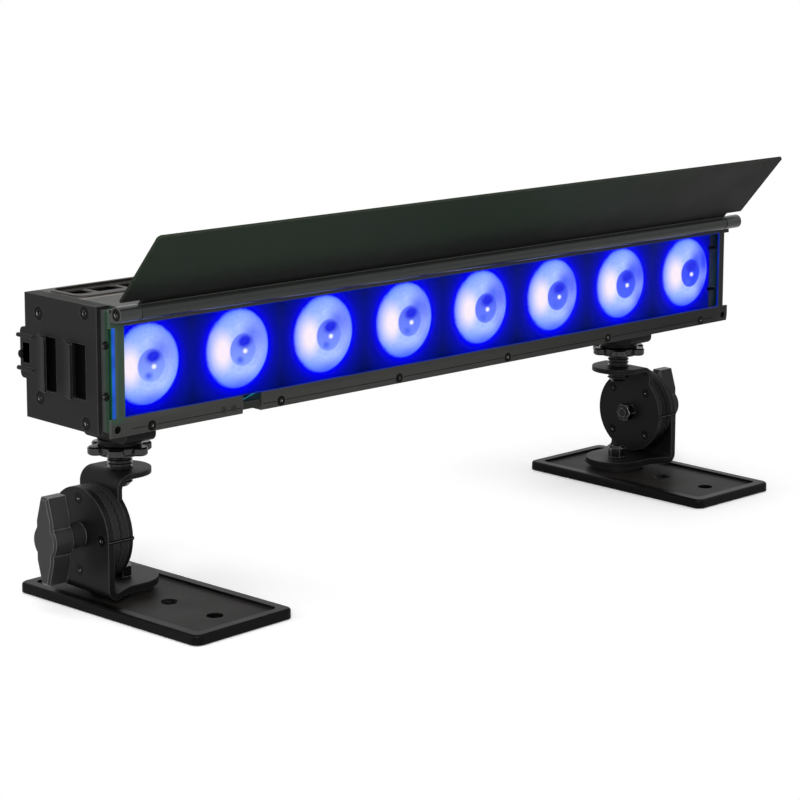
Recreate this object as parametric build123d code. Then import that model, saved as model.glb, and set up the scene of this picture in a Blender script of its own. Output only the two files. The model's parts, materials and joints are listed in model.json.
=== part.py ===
from build123d import *
import math
import os

os.makedirs("parts", exist_ok=True)

# LED pixel bar on two tilting feet, in millimetres. +X runs along the bar, the
# light leaves towards -Y and +Z is up. The pieces are laid out about the middle
# of the bar, with the front frame's face at Y = 0 and the floor at Z = 0. At the
# end all of them are moved so that the origin is under the middle of the part.

# Bar
bar_length = 500.0
bar_height = 68.0
bar_depth = 74.5
end_plate_sheet = 3.0
end_plate_setback = 11.0
pixel_count = 8

# Clearances
shaft_gap = 0.05
slip_gap = 0.3
lay_gap = 0.2

# Front frame: bezel, flanges, ears and knuckles
frame_sheet = 1.5
window_end_margin = 9.0
window_sill = 10.1
window_head = 9.4
ear_height = 10.0
ear_setback = 4.5
corner_setback = 8.5
top_flange_depth = 33.0
bottom_flange_depth = 11.0
fold_height = 3.5
ear_hole_radius = 2.2
ear_hole_height = 4.1
joint_groove = 0.5
rail_screw_inset = 26.75
rail_screw_count = 6
rail_screw_height = 3.3

# Frame catch in the bottom rail
catch_inset = 95.5
catch_gap_width = 13.0
catch_lift = 2.0
catch_height = 4.2
catch_tongue_width = 7.0
catch_tongue_height = 1.2
catch_inlay = 0.6
catch_gap = 0.1

# Glass, gasket and inner frame
glass_thickness = 3.0
glass_side_setback = 5.0
glass_low = 5.0
glass_head = 5.5
gasket_width = 1.6
gasket_thickness = 1.0
inner_frame_depth = 14.0
inner_frame_wall = 5.0
inner_frame_side = 3.5
ledge_width = 2.0
side_screw_depth = 1.8
side_screw_heights = (21.0, 48.0)

# Lens mask, lenses, board and emitters
mask_setback = 10.6
mask_sheet = 1.5
lens_radius = 22.1
lens_crown = 5.0
lens_dimple = 1.6
lens_flange = 1.3
lens_flange_lip = 1.2
lens_foot_radius = 7.0
lens_socket_radius = 5.0
lens_socket_depth = 4.0
board_thickness = 1.8
board_height = 44.0
board_end_margin = 11.0
emitter_size = 5.0
emitter_height = 1.6
emitter_dome = 1.5

# Housing profile
housing_wall = 3.0
led_wall_setback = 29.8
led_wall = 4.2
back_wall = 2.5
back_rail_depth = 6.5
back_rail_height = 6.0
fin_length = 10.0
fin_thickness = 1.6
fin_pitch = 7.0
fin_count = 6
fin_low = 20.0
fin_setback = 12.0
boss_radius = 4.0
boss_web = 2.5

# Vent cover
vent_sheet = 1.7
vent_lip_rise = 0.8
vent_lip_front = 38.0
vent_lip_back_margin = 4.0
vent_lip_end_margin = 10.0
vent_lip_corner = 8.0
vent_recess_front = 45.0
vent_recess_back_margin = 6.0
vent_recess_end_margin = 13.0
vent_recess_corner = 5.0
vent_recess_depth = 0.9
vent_slot_count = 12
vent_slot_end_margin = 13.6
vent_slot_length = 36.6
vent_slot_width = 16.0
vent_slot_corner = 3.5
cover_screw_inset = 100.0
cover_screw_count = 4

# End plates: louvres, rear lug and its window, screws
louvre_low = 17.0
louvre_head = 21.5
louvre_rise = 4.5
louvre_sheet = 1.8
front_louvre_slot = 21.0
front_louvre_root = 42.0
rear_louvre_slot_margin = 27.5
rear_louvre_root_margin = 9.5
louvre_slot = 12.5
louvre_reach = 13.0
lug_reach = 5.0
lug_height = 28.0
lug_above_middle = 1.0
lug_corner = 3.0
lug_window_inset = 3.5
lug_window_outset = 2.5
lug_window_height = 11.0
rib_radius = 1.2
rib_pitch = 18.0
rib_inset = 6.5
rib_overhang = 2.0
link_stud_radius = 3.0
link_stud_length = 5.0
link_stud_drop = 1.2
link_shank_radius = 0.8
link_head_radius = 2.3
link_head_rise = 1.6
end_flange_width = 5.3
rear_screw_margin = 12.3
front_screw_setback = 21.4
rear_screw_low = 12.0
rear_screw_head = 10.0
front_screw_low = 4.7
front_screw_head = 4.6

# Screws: head radius, shank radius, length
end_screw = (3.9, 2.0, 12.0)
rail_screw = (2.85, 1.4, 10.0)
side_screw = (2.2, 1.2, 8.0)
cover_screw = (2.6, 1.5, 7.0)
rosette_screw = (3.2, 1.6, 6.5)
hinge_screw = (3.4, 2.0, 24.0)

# Flap and its hinge
hinge_forward = 5.8
hinge_drop = 2.0
tube_radius = 4.25
knuckle_length = 14.0
flap_angle = 131.2
flap_reach = 57.5
flap_sheet = 1.5
flap_offset = 2.27
flap_notch = 7.5
flap_corner = 1.5

# Rear panel, display, buttons and sockets
panel_length = 120.0
panel_height = 44.0
panel_sheet = 1.8
panel_cut_margin = 8.0
display_x = -26.0
display_length = 40.0
display_height = 18.0
menu_board_thickness = 1.5
menu_board_setback = 4.5
menu_board_height = 30.0
menu_board_margin = 6.0
display_frame = 3.0
display_sink = 0.4
button_names = ("menu_button", "up_button", "down_button", "enter_button")
button_first_x = 11.0
button_pitch = 12.0
button_radius = 3.0
button_flange = 4.2
button_rise = 3.5
button_seat = 2.5
button_edge = 0.6
button_travel = 0.8
switch_radius = 1.75
power_socket = (13.0, 11.0, 8.0)
data_socket = (11.0, 9.0, 6.5)
power_x = 150.0
data_x = 108.0
socket_flange = 2.0
socket_collar = 7.5
socket_depth = 9.0
socket_body = 12.0
socket_corner = 3.0
socket_step = 0.5
panel_corner = 4.0
driver_length = 180.0
driver_front = 36.0
driver_width = 21.0
driver_board_thickness = 1.6
driver_standoff = 4.0
driver_standoff_radius = 2.5
driver_margin = 6.0
driver_part_margin = 4.0
driver_part_gap = 8.0
driver_part_shares = (0.22, 0.16, 0.18, 0.28, 0.16)
driver_part_heights = (8.0, 6.0, 8.0, 5.0, 8.0)

# Feet: stack of heights from the floor up to the bar
base_thickness = 5.6
base_recess = 1.6
puck_thickness = 3.0
pivot_rise = 32.2
tab_rise = 32.3
star_gap = 8.5
star_thickness = 4.6
collar_height = 3.1
block_height = 12.0

# Feet: places along the bar and across it
left_stud_inset = 37.5
right_stud_inset = 57.5
stud_y = 42.7
left_base_yaw = 3.4
right_base_yaw = 0.4

# Feet: clamp block, stud and star nut
block_width = 20.0
block_depth = 39.0
block_corner = 4.0
block_slot_depth = 1.5
block_slot_height = 3.0
block_slot_length = 24.0
collar_radius = 12.0
stud_radius = 7.0
thread_pitch = 2.0
thread_depth = 1.1
stud_tail = 7.0
stud_tip = 1.5
tee_width = 26.0
tee_depth = 16.0
tee_thickness = 5.0
star_core = 13.0
star_lobe = 4.7
star_lobe_centre = 13.5
star_lobe_count = 6
star_hub = 11.5
star_hub_drop = 1.0
star_turn = -16.5
star_edge = 0.8

# Feet: brackets, rosettes and handle, measured outwards from the stud
upper_sheet = 3.0
lower_sheet = 4.0
upper_bend = 8.0
lower_bend = 6.0
rosette_radius = 26.0
upper_half_width = 17.0
upper_plate_inner = 11.5
inner_rosette = 4.7
tooth_depth = 0.8
tooth_count = 36
tooth_share = 0.94
tip_gap = 0.1
outer_rosette = 4.75
tooth_inner_radius = 12.0
index_groove = 0.8
rosette_screw_circle = 19.8
pivot_bolt_radius = 3.0
pivot_nut_flats = 10.0
pivot_nut_length = 6.0
lower_tab_radius = 20.0
lower_tab_taper = 12.0
handle_neck_length = 9.5
handle_neck_radius = 7.0
handle_blade_width = 13.5
handle_half_height = 24.0
handle_tip_half = 3.0
handle_root_half = 7.0
handle_root_height = 11.0
handle_hub_radius = 10.0
handle_edge = 1.2

# Feet: puck, base bolt and base plate
puck_radius = 17.0
base_bolt_radius = 3.0
base_bolt_head_radius = 5.5
base_bolt_head_height = 1.9
base_nut_flats = 10.0
base_nut_height = 6.0
base_width = 70.0
base_length = 144.6
base_rim = 6.5
base_corner = 5.0
tray_corner = 3.0
base_edge = 1.6
base_bolt_offset = 26.4
base_hole_radius = 4.5
base_hole_offset = 48.0
base_sink_offset = 12.0
base_sink_radius = 5.0
base_sink_shank = 3.3

# Heights worked out from the stack
recess_floor = base_thickness - base_recess
lower_tab_low = recess_floor + puck_thickness
pivot_z = lower_tab_low + pivot_rise
tab_top = pivot_z + tab_rise
star_low = tab_top + star_gap
collar_low = star_low + star_thickness + slip_gap
block_low = collar_low + collar_height
bar_low = block_low + block_height
bar_top = bar_low + bar_height
shelf = bar_top - vent_sheet
lens_z = bar_low + bar_height / 2
lug_z = lens_z + lug_above_middle
window_low = bar_low + window_sill
window_high = bar_top - window_head

# Lengths worked out from the bar
half = bar_length / 2
half_inside = half - end_plate_sheet
half_flange = half - corner_setback
half_window = half - window_end_margin
pixel_pitch = bar_length / pixel_count
catch_x = catch_inset - half

# Depths worked out from the front
glass_back = frame_sheet + glass_thickness
gasket_back = glass_back + gasket_thickness
mask_back = mask_setback + mask_sheet
led_wall_back = led_wall_setback + led_wall
board_front = led_wall_setback - board_thickness

lug_end = bar_depth + lug_reach
lug_window_front = bar_depth - lug_window_inset
lug_window_back = bar_depth + lug_window_outset

# Distances outwards from the stud
upper_plate_outer = upper_plate_inner + upper_sheet
seam = upper_plate_outer + inner_rosette
inner_tips = seam - tip_gap / 2
outer_tips = seam + tip_gap / 2
lower_plate_inner = outer_tips + outer_rosette
lower_plate_outer = lower_plate_inner + lower_sheet


# Directions that a turned piece can face; it is drawn facing +Y
facing = {
    "+X": Rot(0, 0, -90),
    "-X": Rot(0, 0, 90),
    "+Y": Rot(0, 0, 0),
    "-Y": Rot(0, 0, 180),
    "+Z": Rot(90, 0, 0),
    "-Z": Rot(-90, 0, 0),
}


def block(x, y, z):
    # Box between the two limits given along each axis
    size = (x[1] - x[0], y[1] - y[0], z[1] - z[0])
    middle = ((x[0] + x[1]) / 2, (y[0] + y[1]) / 2, (z[0] + z[1]) / 2)
    return Pos(*middle) * Box(*size)


def flat(points):
    # Flat face from its corners, always facing +Z
    turn = sum(a[0] * b[1] - b[0] * a[1] for a, b in zip(points, points[1:] + points[:1]))
    return Polygon(*(points if turn > 0 else points[::-1]), align=None)


def turned(points):
    # Solid turned about +Y from corners given as radius, place along the axis
    return revolve(make_face(Polyline(*points, close=True)), Axis.Y)


def bar_rod(radius, x, y, z):
    # Round rod along X between two places
    return Pos((x[0] + x[1]) / 2, y, z) * facing["+X"] * turned_rod(radius, x[1] - x[0])


def turned_rod(radius, length):
    return turned([(0, -length / 2), (radius, -length / 2), (radius, length / 2), (0, length / 2)])


def group(pieces):
    # Identical pieces of one body share one node as separate solids
    return Compound(children=[solid for piece in pieces for solid in piece.solids()])


def hex_prism(flats, length):
    # Hexagon about Y from 0 back to -length
    prism = extrude(RegularPolygon(flats / math.sqrt(3), 6), length)
    return Rot(90, 0, 0) * prism


def countersunk_screw(size):
    # Flat head at 0, facing +Y, with a hexagon socket
    head, shank, length = size
    body = turned([(0, 0), (head, 0), (shank, shank - head), (shank, -length), (0, -length)])
    return body - hex_prism(shank * 1.25, shank * 0.8)


def countersink(size):
    # Room for a countersunk screw
    head, shank, length = size
    wide = head + shaft_gap
    slim = shank + shaft_gap
    return turned([(0, 1), (wide, 1), (wide, 0), (slim, slim - wide), (slim, -length), (0, -length)])


def pan_screw(size):
    # Round head standing on 0, facing +Y, with a hexagon socket
    head, shank, length = size
    rise = head * 0.62
    crown = head * 0.6
    profile = Polyline((crown, rise), (0, rise), (0, -length), (shank, -length), (shank, 0), (head, 0))
    edge = ThreePointArc((head, 0), (head * 0.9, rise * 0.62), (crown, rise))
    body = revolve(make_face(profile + edge), Axis.Y)
    return body - Pos(0, rise, 0) * hex_prism(shank * 1.3, rise * 0.6)


def pilot(size):
    # Hole for a screw's shank
    head, shank, length = size
    return turned([(0, 0.5), (shank + shaft_gap, 0.5), (shank + shaft_gap, -length), (0, -length)])


def pixel_places():
    first = -(pixel_count - 1) / 2
    return [(first + i) * pixel_pitch for i in range(pixel_count)]


def spread(count, inset):
    # Even places along the bar, the outer ones this far from its ends
    pitch = (bar_length - 2 * inset) / (count - 1)
    return [inset - half + i * pitch for i in range(count)]


# Front end of the bar

hinge_y = -hinge_forward
hinge_z = bar_top - hinge_drop
knuckle_inner = half - knuckle_length


def rail_screw_places():
    return [Pos(x, 0, bar_low + rail_screw_height) for x in spread(rail_screw_count, rail_screw_inset)]


def make_front_frame():
    plate = block((-half, half), (0, frame_sheet), (bar_low, bar_top))
    top_flange = block((-half_flange, half_flange), (0, top_flange_depth), (bar_top - frame_sheet, bar_top))
    low_flange = block((-half_flange, half_flange), (0, bottom_flange_depth), (bar_low, bar_low + frame_sheet))
    frame = plate + top_flange + low_flange
    cuts = [block((-half_window, half_window), (-1, frame_sheet + 1), (window_low, window_high))]
    fold = flat([(-1, -1), (frame_sheet / 2, -1), (0, fold_height), (-1, fold_height)])
    cuts += [Pos(-half, 0, bar_low) * (Plane.YZ * extrude(fold, bar_length))]
    for side in (-1, 1):
        edge = sorted((side * (half - ear_setback), side * (half + 1)))
        groove = side * half_window
        cuts += [block(edge, (-1, frame_sheet + 1), (bar_low + ear_height, bar_top - ear_height))]
        cuts += [block((groove - joint_groove / 2, groove + joint_groove / 2), (-1, frame_sheet / 3),
                       (bar_low, window_low))]
        ear_hole = Pos(side * (half - ear_setback), 0, bar_low + ear_hole_height)
        cuts += [ear_hole * turned_rod(ear_hole_radius, 4 * frame_sheet)]
    catch = (catch_x - catch_gap_width / 2, catch_x + catch_gap_width / 2)
    cuts += [block(catch, (-1, bottom_flange_depth + 1), (bar_low - 1, window_low + 1))]
    cuts += [place * facing["-Y"] * countersink(rail_screw) for place in rail_screw_places()]
    return frame - cuts + [make_knuckle(-1), make_knuckle(1)]


def make_knuckle(side):
    ends = sorted((side * knuckle_inner, side * half))
    barrel = bar_rod(tube_radius, ends, hinge_y, hinge_z)
    arm = block(ends, (hinge_y, 0.5), (hinge_z - tube_radius, hinge_z))
    hole = bar_rod(hinge_screw[1] + shaft_gap, (ends[0] - 1, ends[1] + 1), hinge_y, hinge_z)
    return barrel + arm - hole - hinge_screw_place(side) * countersink(hinge_screw)


def hinge_screw_place(side):
    return Pos(side * half, hinge_y, hinge_z) * facing["-X" if side < 0 else "+X"]


def make_frame_catch():
    # Blade set back in a gap that is open up to the window, so it can be pushed up
    low = bar_low + catch_lift
    width = catch_gap_width / 2 - slip_gap
    blade = block((catch_x - width, catch_x + width), (catch_inlay, frame_sheet - catch_gap),
                  (low, low + catch_height))
    tongue_end = gasket_back - lay_gap
    tongue = block((catch_x - catch_tongue_width / 2, catch_x + catch_tongue_width / 2), (catch_inlay, tongue_end),
                   (low, low + catch_tongue_height))
    return blade + tongue


def make_glass():
    wide = half - glass_side_setback
    return block((-wide, wide), (frame_sheet, glass_back), (bar_low + glass_low, bar_top - glass_head))


def make_gasket():
    wide = half - glass_side_setback
    low = bar_low + glass_low
    high = bar_top - glass_head
    ring = block((-wide, wide), (glass_back, gasket_back), (low, high))
    inside = block((gasket_width - wide, wide - gasket_width), (glass_back - 1, gasket_back + 1),
                   (low + gasket_width, high - gasket_width))
    return ring - inside


def side_screw_places(side):
    depth = gasket_back + side_screw_depth
    return [Pos(side * half_inside, depth, bar_low + z) for z in side_screw_heights]


def make_inner_frame():
    low = bar_low + frame_sheet + lay_gap
    high = shelf - lay_gap
    ring = block((-half_inside, half_inside), (gasket_back, inner_frame_depth), (low, high))
    wide = half_inside - inner_frame_side
    wall = inner_frame_wall
    front = block((-wide, wide), (gasket_back - 1, mask_back), (low + wall, high - wall))
    back = block((-wide, wide), (mask_back - 1, inner_frame_depth + 1),
                 (low + wall + ledge_width, high - wall - ledge_width))
    holes = [Pos(0, gasket_back, 0) * place * facing["-Y"] * pilot(rail_screw) for place in rail_screw_places()]
    for side, out in ((-1, "-X"), (1, "+X")):
        holes += [place * facing[out] * pilot(side_screw) for place in side_screw_places(side)]
    return ring - front - back - holes


def make_lens_mask():
    low = bar_low + frame_sheet + lay_gap + inner_frame_wall + lay_gap
    high = shelf - 2 * lay_gap - inner_frame_wall
    wide = half_inside - inner_frame_side - lay_gap
    plate = block((-wide, wide), (mask_setback, mask_back), (low, high))
    holes = [Pos(x, mask_back, lens_z) * turned_rod(lens_radius, 4 * mask_sheet) for x in pixel_places()]
    return plate - holes


def make_lens(x):
    # Moulded lens: dimpled dome in front, tapering body and a foot on the board
    rim = lens_radius - lay_gap
    lip = lens_radius + lens_flange_lip
    crest = rim * 0.45
    crown = mask_setback - lens_crown
    foot = board_front
    socket = board_front - lens_socket_depth
    dimple = ThreePointArc((0, crown + lens_dimple), (crest / 2, crown + lens_dimple * 0.75), (crest, crown))
    dome = ThreePointArc((crest, crown), (rim * 0.8, crown + lens_crown * 0.35), (rim, mask_setback))
    outline = Polyline((rim, mask_setback), (rim, mask_back), (lip, mask_back), (lip, mask_back + lens_flange),
                       (rim - 1, mask_back + lens_flange), (lens_foot_radius, foot), (lens_socket_radius, foot),
                       (lens_socket_radius, socket), (0, socket), (0, crown + lens_dimple))
    return Pos(x, 0, lens_z) * revolve(make_face(dimple + dome + outline), Axis.Y)


def make_led_board():
    wide = half - board_end_margin
    return block((-wide, wide), (board_front, led_wall_setback),
                 (lens_z - board_height / 2, lens_z + board_height / 2))


def make_led_emitters():
    side = emitter_size / 2
    chips = []
    for x in pixel_places():
        chip = block((x - side, x + side), (board_front - emitter_height, board_front),
                     (lens_z - side, lens_z + side))
        dome = Pos(x, board_front - emitter_height, lens_z) * Sphere(emitter_dome)
        chips.append(chip + dome)
    return group(chips)


def make_flap():
    # Drawn lying along +Y from the hinge axis, then turned up to its rest angle
    run = knuckle_inner - slip_gap
    tube = bar_rod(tube_radius, (-run, run), 0, 0)
    sheet = (-flap_offset - flap_sheet / 2, -flap_offset + flap_sheet / 2)
    leaf = block((-run, run), (0, flap_reach), sheet) + block((-half, half), (flap_notch, flap_reach), sheet)
    tips = leaf.edges().filter_by(Axis.Z).group_by(Axis.Y)[-1]
    leaf = chamfer(tips, flap_corner)
    flap = tube + leaf
    bore = hinge_screw[2] - knuckle_length + 1
    for ends in ((-run - 1, bore - run), (run - bore, run + 1)):
        flap -= bar_rod(hinge_screw[1] + shaft_gap, ends, 0, 0)
    return Pos(0, hinge_y, hinge_z) * Rot(flap_angle, 0, 0) * flap


def make_hinge_screws():
    return group([hinge_screw_place(side) * countersunk_screw(hinge_screw) for side in (-1, 1)])


def make_rail_screws():
    return group([place * facing["-Y"] * countersunk_screw(rail_screw) for place in rail_screw_places()])


def make_side_screws():
    left = [place * facing["-X"] * pan_screw(side_screw) for place in side_screw_places(-1)]
    right = [place * facing["+X"] * pan_screw(side_screw) for place in side_screw_places(1)]
    return group(left + right)


# Housing, covers and end plates

stud_places = ((left_stud_inset - half, -1), (half - right_stud_inset, 1))
button_places = [button_first_x + i * button_pitch for i in range(len(button_names))]
panel_z = lens_z


end_screw_places = (
    (bar_depth - rear_screw_margin, bar_top - rear_screw_head),
    (front_screw_setback, bar_top - front_screw_head),
    (bar_depth - rear_screw_margin, bar_low + rear_screw_low),
    (front_screw_setback, bar_low + front_screw_low),
)


def end_screw_spots(side):
    return [Pos(side * half, depth, z) for depth, z in end_screw_places]


def make_housing():
    run = (-half_inside, half_inside)
    floor = block(run, (inner_frame_depth, bar_depth), (bar_low, bar_low + housing_wall))
    roof = block(run, (inner_frame_depth, led_wall_back), (shelf - housing_wall, shelf))
    led = block(run, (led_wall_setback, led_wall_back), (bar_low, shelf))
    back = block(run, (bar_depth - back_wall, bar_depth), (bar_low, shelf))
    rail = block(run, (bar_depth - back_rail_depth, bar_depth), (shelf - back_rail_height, shelf))
    body = floor + roof + led + back + rail
    fin_run = (fin_setback - half_inside, half_inside - fin_setback)
    for i in range(fin_count):
        z = bar_low + fin_low + i * fin_pitch
        body += block(fin_run, (led_wall_back - 0.5, led_wall_back + fin_length), (z, z + fin_thickness))
    body += make_bosses(run)
    return body - make_housing_holes()


def make_bosses(run):
    # Round ports that take the end plate screws, each tied to a wall
    ports = []
    for depth, z in end_screw_places:
        ports.append(bar_rod(boss_radius, run, depth, z))
        if depth > led_wall_back:
            ports.append(block(run, (depth, bar_depth - back_wall / 2), (z - boss_web / 2, z + boss_web / 2)))
    room = block(run, (inner_frame_depth, bar_depth), (bar_low, shelf))
    return [port & room for port in ports]


def make_housing_holes():
    holes = []
    for side, out in ((-1, "-X"), (1, "+X")):
        holes += [spot * facing[out] * pilot(end_screw) for spot in end_screw_spots(side)]
        notch = sorted((side * (half_inside - link_stud_length - 1), side * (half_inside + 1)))
        holes.append(block(notch, (lug_window_front, bar_depth + 1), lug_window_span()))
    for x, side in stud_places:
        holes.append(Pos(x, stud_y, bar_low) * Cylinder(stud_radius + shaft_gap, 4 * housing_wall))
    margin = panel_cut_margin
    holes.append(block((margin - panel_length / 2, panel_length / 2 - margin),
                       (bar_depth - 2 * back_wall, bar_depth + 1),
                       (panel_z - panel_height / 2 + margin / 2, panel_z + panel_height / 2 - margin / 2)))
    for x, size in socket_places().values():
        holes.append(Pos(x, bar_depth, panel_z) * turned_rod(size[1] - socket_step + lay_gap, 4 * back_wall))
    holes += [place * facing["+Z"] * pilot(cover_screw) for place in cover_screw_places()]
    return holes


def rounded_slab(x, y, z, corner):
    slab = extrude(RectangleRounded(x[1] - x[0], y[1] - y[0], corner), z[1] - z[0])
    return Pos((x[0] + x[1]) / 2, (y[0] + y[1]) / 2, z[0]) * slab


def cover_screw_places():
    back = bar_depth - back_rail_depth / 2
    return [Pos(x, back, bar_top) for x in spread(cover_screw_count, cover_screw_inset)]


def make_vent_cover():
    front = top_flange_depth + lay_gap
    sheet = block((-half_flange, half_flange), (front, bar_depth), (shelf, bar_top))
    lip_end = half - vent_lip_end_margin
    lip = rounded_slab((-lip_end, lip_end), (vent_lip_front, bar_depth - vent_lip_back_margin),
                       (bar_top - vent_sheet / 2, bar_top + vent_lip_rise), vent_lip_corner)
    lip_edge = lip.edges().group_by(Axis.Z)[-1]
    lip = fillet(lip_edge, vent_lip_rise * 0.9)
    recess_end = half - vent_recess_end_margin
    recess_back = bar_depth - vent_recess_back_margin
    recess = rounded_slab((-recess_end, recess_end), (vent_recess_front, recess_back),
                          (bar_top - vent_recess_depth, bar_top + 2 * vent_lip_rise), vent_recess_corner)
    middle = (vent_recess_front + recess_back) / 2
    slots = []
    for x in spread(vent_slot_count, vent_slot_end_margin + vent_slot_length / 2):
        slots.append(rounded_slab((x - vent_slot_length / 2, x + vent_slot_length / 2),
                                  (middle - vent_slot_width / 2, middle + vent_slot_width / 2),
                                  (shelf - 1, bar_top), vent_slot_corner))
    sinks = [place * facing["+Z"] * countersink(cover_screw) for place in cover_screw_places()]
    return sheet + lip - recess - slots - sinks


def make_cover_screws():
    return group([place * facing["+Z"] * countersunk_screw(cover_screw) for place in cover_screw_places()])


def make_end_plate(side):
    # Drawn for the left end; the right one is its mirror image
    sheet = (-half, -half_inside)
    plate = block(sheet, (end_plate_setback, bar_depth), (bar_low, bar_top))
    flange_end = -half_inside + end_flange_width
    plate += block((-half, flange_end), (end_plate_setback, bar_depth), (shelf, bar_top))
    lug = block(sheet, (bar_depth - 1, lug_end), (lug_z - lug_height / 2, lug_z + lug_height / 2))
    lug = fillet(lug.edges().filter_by(Axis.X).group_by(Axis.Y)[-1], lug_corner)
    plate += lug
    plate += [bar_ridge(lug_z - rib_pitch / 2), bar_ridge(lug_z + rib_pitch / 2)]
    louvres = ((front_louvre_slot, front_louvre_root),
               (bar_depth - rear_louvre_slot_margin, bar_depth - rear_louvre_root_margin))
    for slot, root in louvres:
        plate -= block((-half - 1, -half_inside + 1), (slot, slot + louvre_slot), louvre_span())
        plate += make_louvre(root)
    plate -= block((-half - rib_radius - 1, -half_inside + 1), (lug_window_front, lug_window_back), lug_window_span())
    plate -= [spot * facing["-X"] * countersink(end_screw) for spot in end_screw_spots(-1)]
    plate -= stud_spot() * facing["-X"] * pilot((0, link_shank_radius, 2 * end_plate_sheet))
    if side > 0:
        plate = plate.mirror(Plane.YZ)
    return plate


def lug_window_span():
    return (lug_z - lug_window_height / 2, lug_z + lug_window_height / 2)


def louvre_span():
    return (bar_low + louvre_low, bar_top - louvre_head)


def bar_ridge(z):
    # Half-round rib pressed outwards, along Y and past the lug's edge
    start = bar_depth - rib_inset
    end = lug_end + rib_overhang
    return Pos(-half, (start + end) / 2, z) * turned_rod(rib_radius, end - start)


def make_louvre(back):
    # Strip that rises from the plate towards the front, above its slot
    tip = back - louvre_reach
    out = half + louvre_rise
    skin = louvre_sheet
    section = flat([(-half + 1, back + 1), (-out, tip + 1), (-out, tip), (-out + skin, tip),
                    (-half + 1, back - 2 * skin - 1)])
    low, high = louvre_span()
    return Pos(0, 0, low) * extrude(section, high - low)


def stud_spot():
    return Pos(-half, (lug_window_back + lug_end) / 2, lug_z - link_stud_drop)


def make_link_studs():
    inner = -end_plate_sheet - link_stud_length
    body = turned([(0, link_head_rise), (link_head_radius / 2, link_head_rise), (link_head_radius, link_head_rise / 2),
                   (link_head_radius, 0), (link_shank_radius, 0), (link_shank_radius, -end_plate_sheet),
                   (link_stud_radius, -end_plate_sheet), (link_stud_radius, inner), (0, inner)])
    left = stud_spot() * facing["-X"] * body
    return group([left, left.mirror(Plane.YZ)])


def make_end_plate_screws():
    left = [spot * facing["-X"] * countersunk_screw(end_screw) for spot in end_screw_spots(-1)]
    right = [spot * facing["+X"] * countersunk_screw(end_screw) for spot in end_screw_spots(1)]
    return group(left + right)


# Rear panel and electrics

def socket_places():
    return {
        "power_in": (-power_x, power_socket),
        "data_in": (-data_x, data_socket),
        "data_out": (data_x, data_socket),
        "power_out": (power_x, power_socket),
    }


def make_socket(x, size):
    # Square flange on the back wall, round collar and a plain round recess
    flange, collar, bore = size
    reach = socket_flange + socket_collar
    plate = extrude(RectangleRounded(2 * flange, 2 * flange, socket_corner), socket_flange)
    plate = Rot(-90, 0, 0) * plate
    inside = collar - socket_step
    barrel = turned([(0, -socket_body), (inside, -socket_body), (inside, 0), (collar, 0),
                     (collar, reach), (bore, reach), (bore, reach - socket_depth), (0, reach - socket_depth)])
    recess = Pos(0, reach, 0) * pilot((0, bore - shaft_gap, socket_depth))
    return Pos(x, bar_depth, panel_z) * (plate + barrel - recess)


def display_span():
    return (display_x - display_length / 2, display_x + display_length / 2)


def make_rear_panel():
    panel = extrude(RectangleRounded(panel_length, panel_height, panel_corner), panel_sheet)
    panel = Pos(0, bar_depth, panel_z) * Rot(-90, 0, 0) * panel
    window = block(display_span(), (bar_depth - 1, bar_depth + 2 * panel_sheet),
                   (panel_z - display_height / 2, panel_z + display_height / 2))
    hole = turned_rod(button_radius + slip_gap, 4 * panel_sheet)
    return panel - window - [Pos(x, bar_depth, panel_z) * hole for x in button_places]


def make_display():
    # Menu board with the display module and one switch behind each button
    board_back = bar_depth - menu_board_setback
    start, end = display_span()
    board = block((start - menu_board_margin, button_places[-1] + menu_board_margin),
                  (board_back - menu_board_thickness, board_back),
                  (panel_z - menu_board_height / 2, panel_z + menu_board_height / 2))
    frame_rise = display_height / 2 + display_frame
    module = block((start - display_frame, end + display_frame), (board_back, bar_depth),
                   (panel_z - frame_rise, panel_z + frame_rise))
    face_rise = display_height / 2 - lay_gap
    face = block((start + lay_gap, end - lay_gap), (bar_depth - 1, bar_depth + panel_sheet - display_sink),
                 (panel_z - face_rise, panel_z + face_rise))
    display = board + module + face
    switch_top = bar_depth - button_seat - button_travel - slip_gap
    for place in button_places:
        length = switch_top - board_back
        display += Pos(place, switch_top - length / 2, panel_z) * turned_rod(switch_radius, length)
    return display


def make_button(x):
    cap_top = bar_depth + button_rise
    flange_back = bar_depth - button_seat
    body = turned([(0, flange_back), (button_flange, flange_back), (button_flange, bar_depth),
                   (button_radius, bar_depth), (button_radius, cap_top - button_edge),
                   (button_radius - button_edge, cap_top), (0, cap_top)])
    return Pos(x, 0, panel_z) * body


def make_driver_board():
    # Power supply and pixel driver, on four standoffs from the housing's floor
    floor = bar_low + housing_wall
    low = floor + driver_standoff
    high = low + driver_board_thickness
    back = driver_front + driver_width
    board = block((-driver_length / 2, driver_length / 2), (driver_front, back), (low, high))
    standoff_end = driver_length / 2 - driver_margin
    sides = (driver_front + driver_part_margin, back - driver_part_margin)
    for x in (-standoff_end, standoff_end):
        for y in sides:
            board += Pos(x, y, (floor + low) / 2) * Cylinder(driver_standoff_radius, driver_standoff)
    start = driver_part_gap - driver_length / 2
    room = driver_length - driver_part_gap * (len(driver_part_shares) + 1)
    for share, height in zip(driver_part_shares, driver_part_heights):
        end = start + share * room
        board += block((start, end), sides, (high, high + height))
        start = end + driver_part_gap
    return board


# Foot pieces, drawn about the stud's axis with the outer side towards +X

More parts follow.
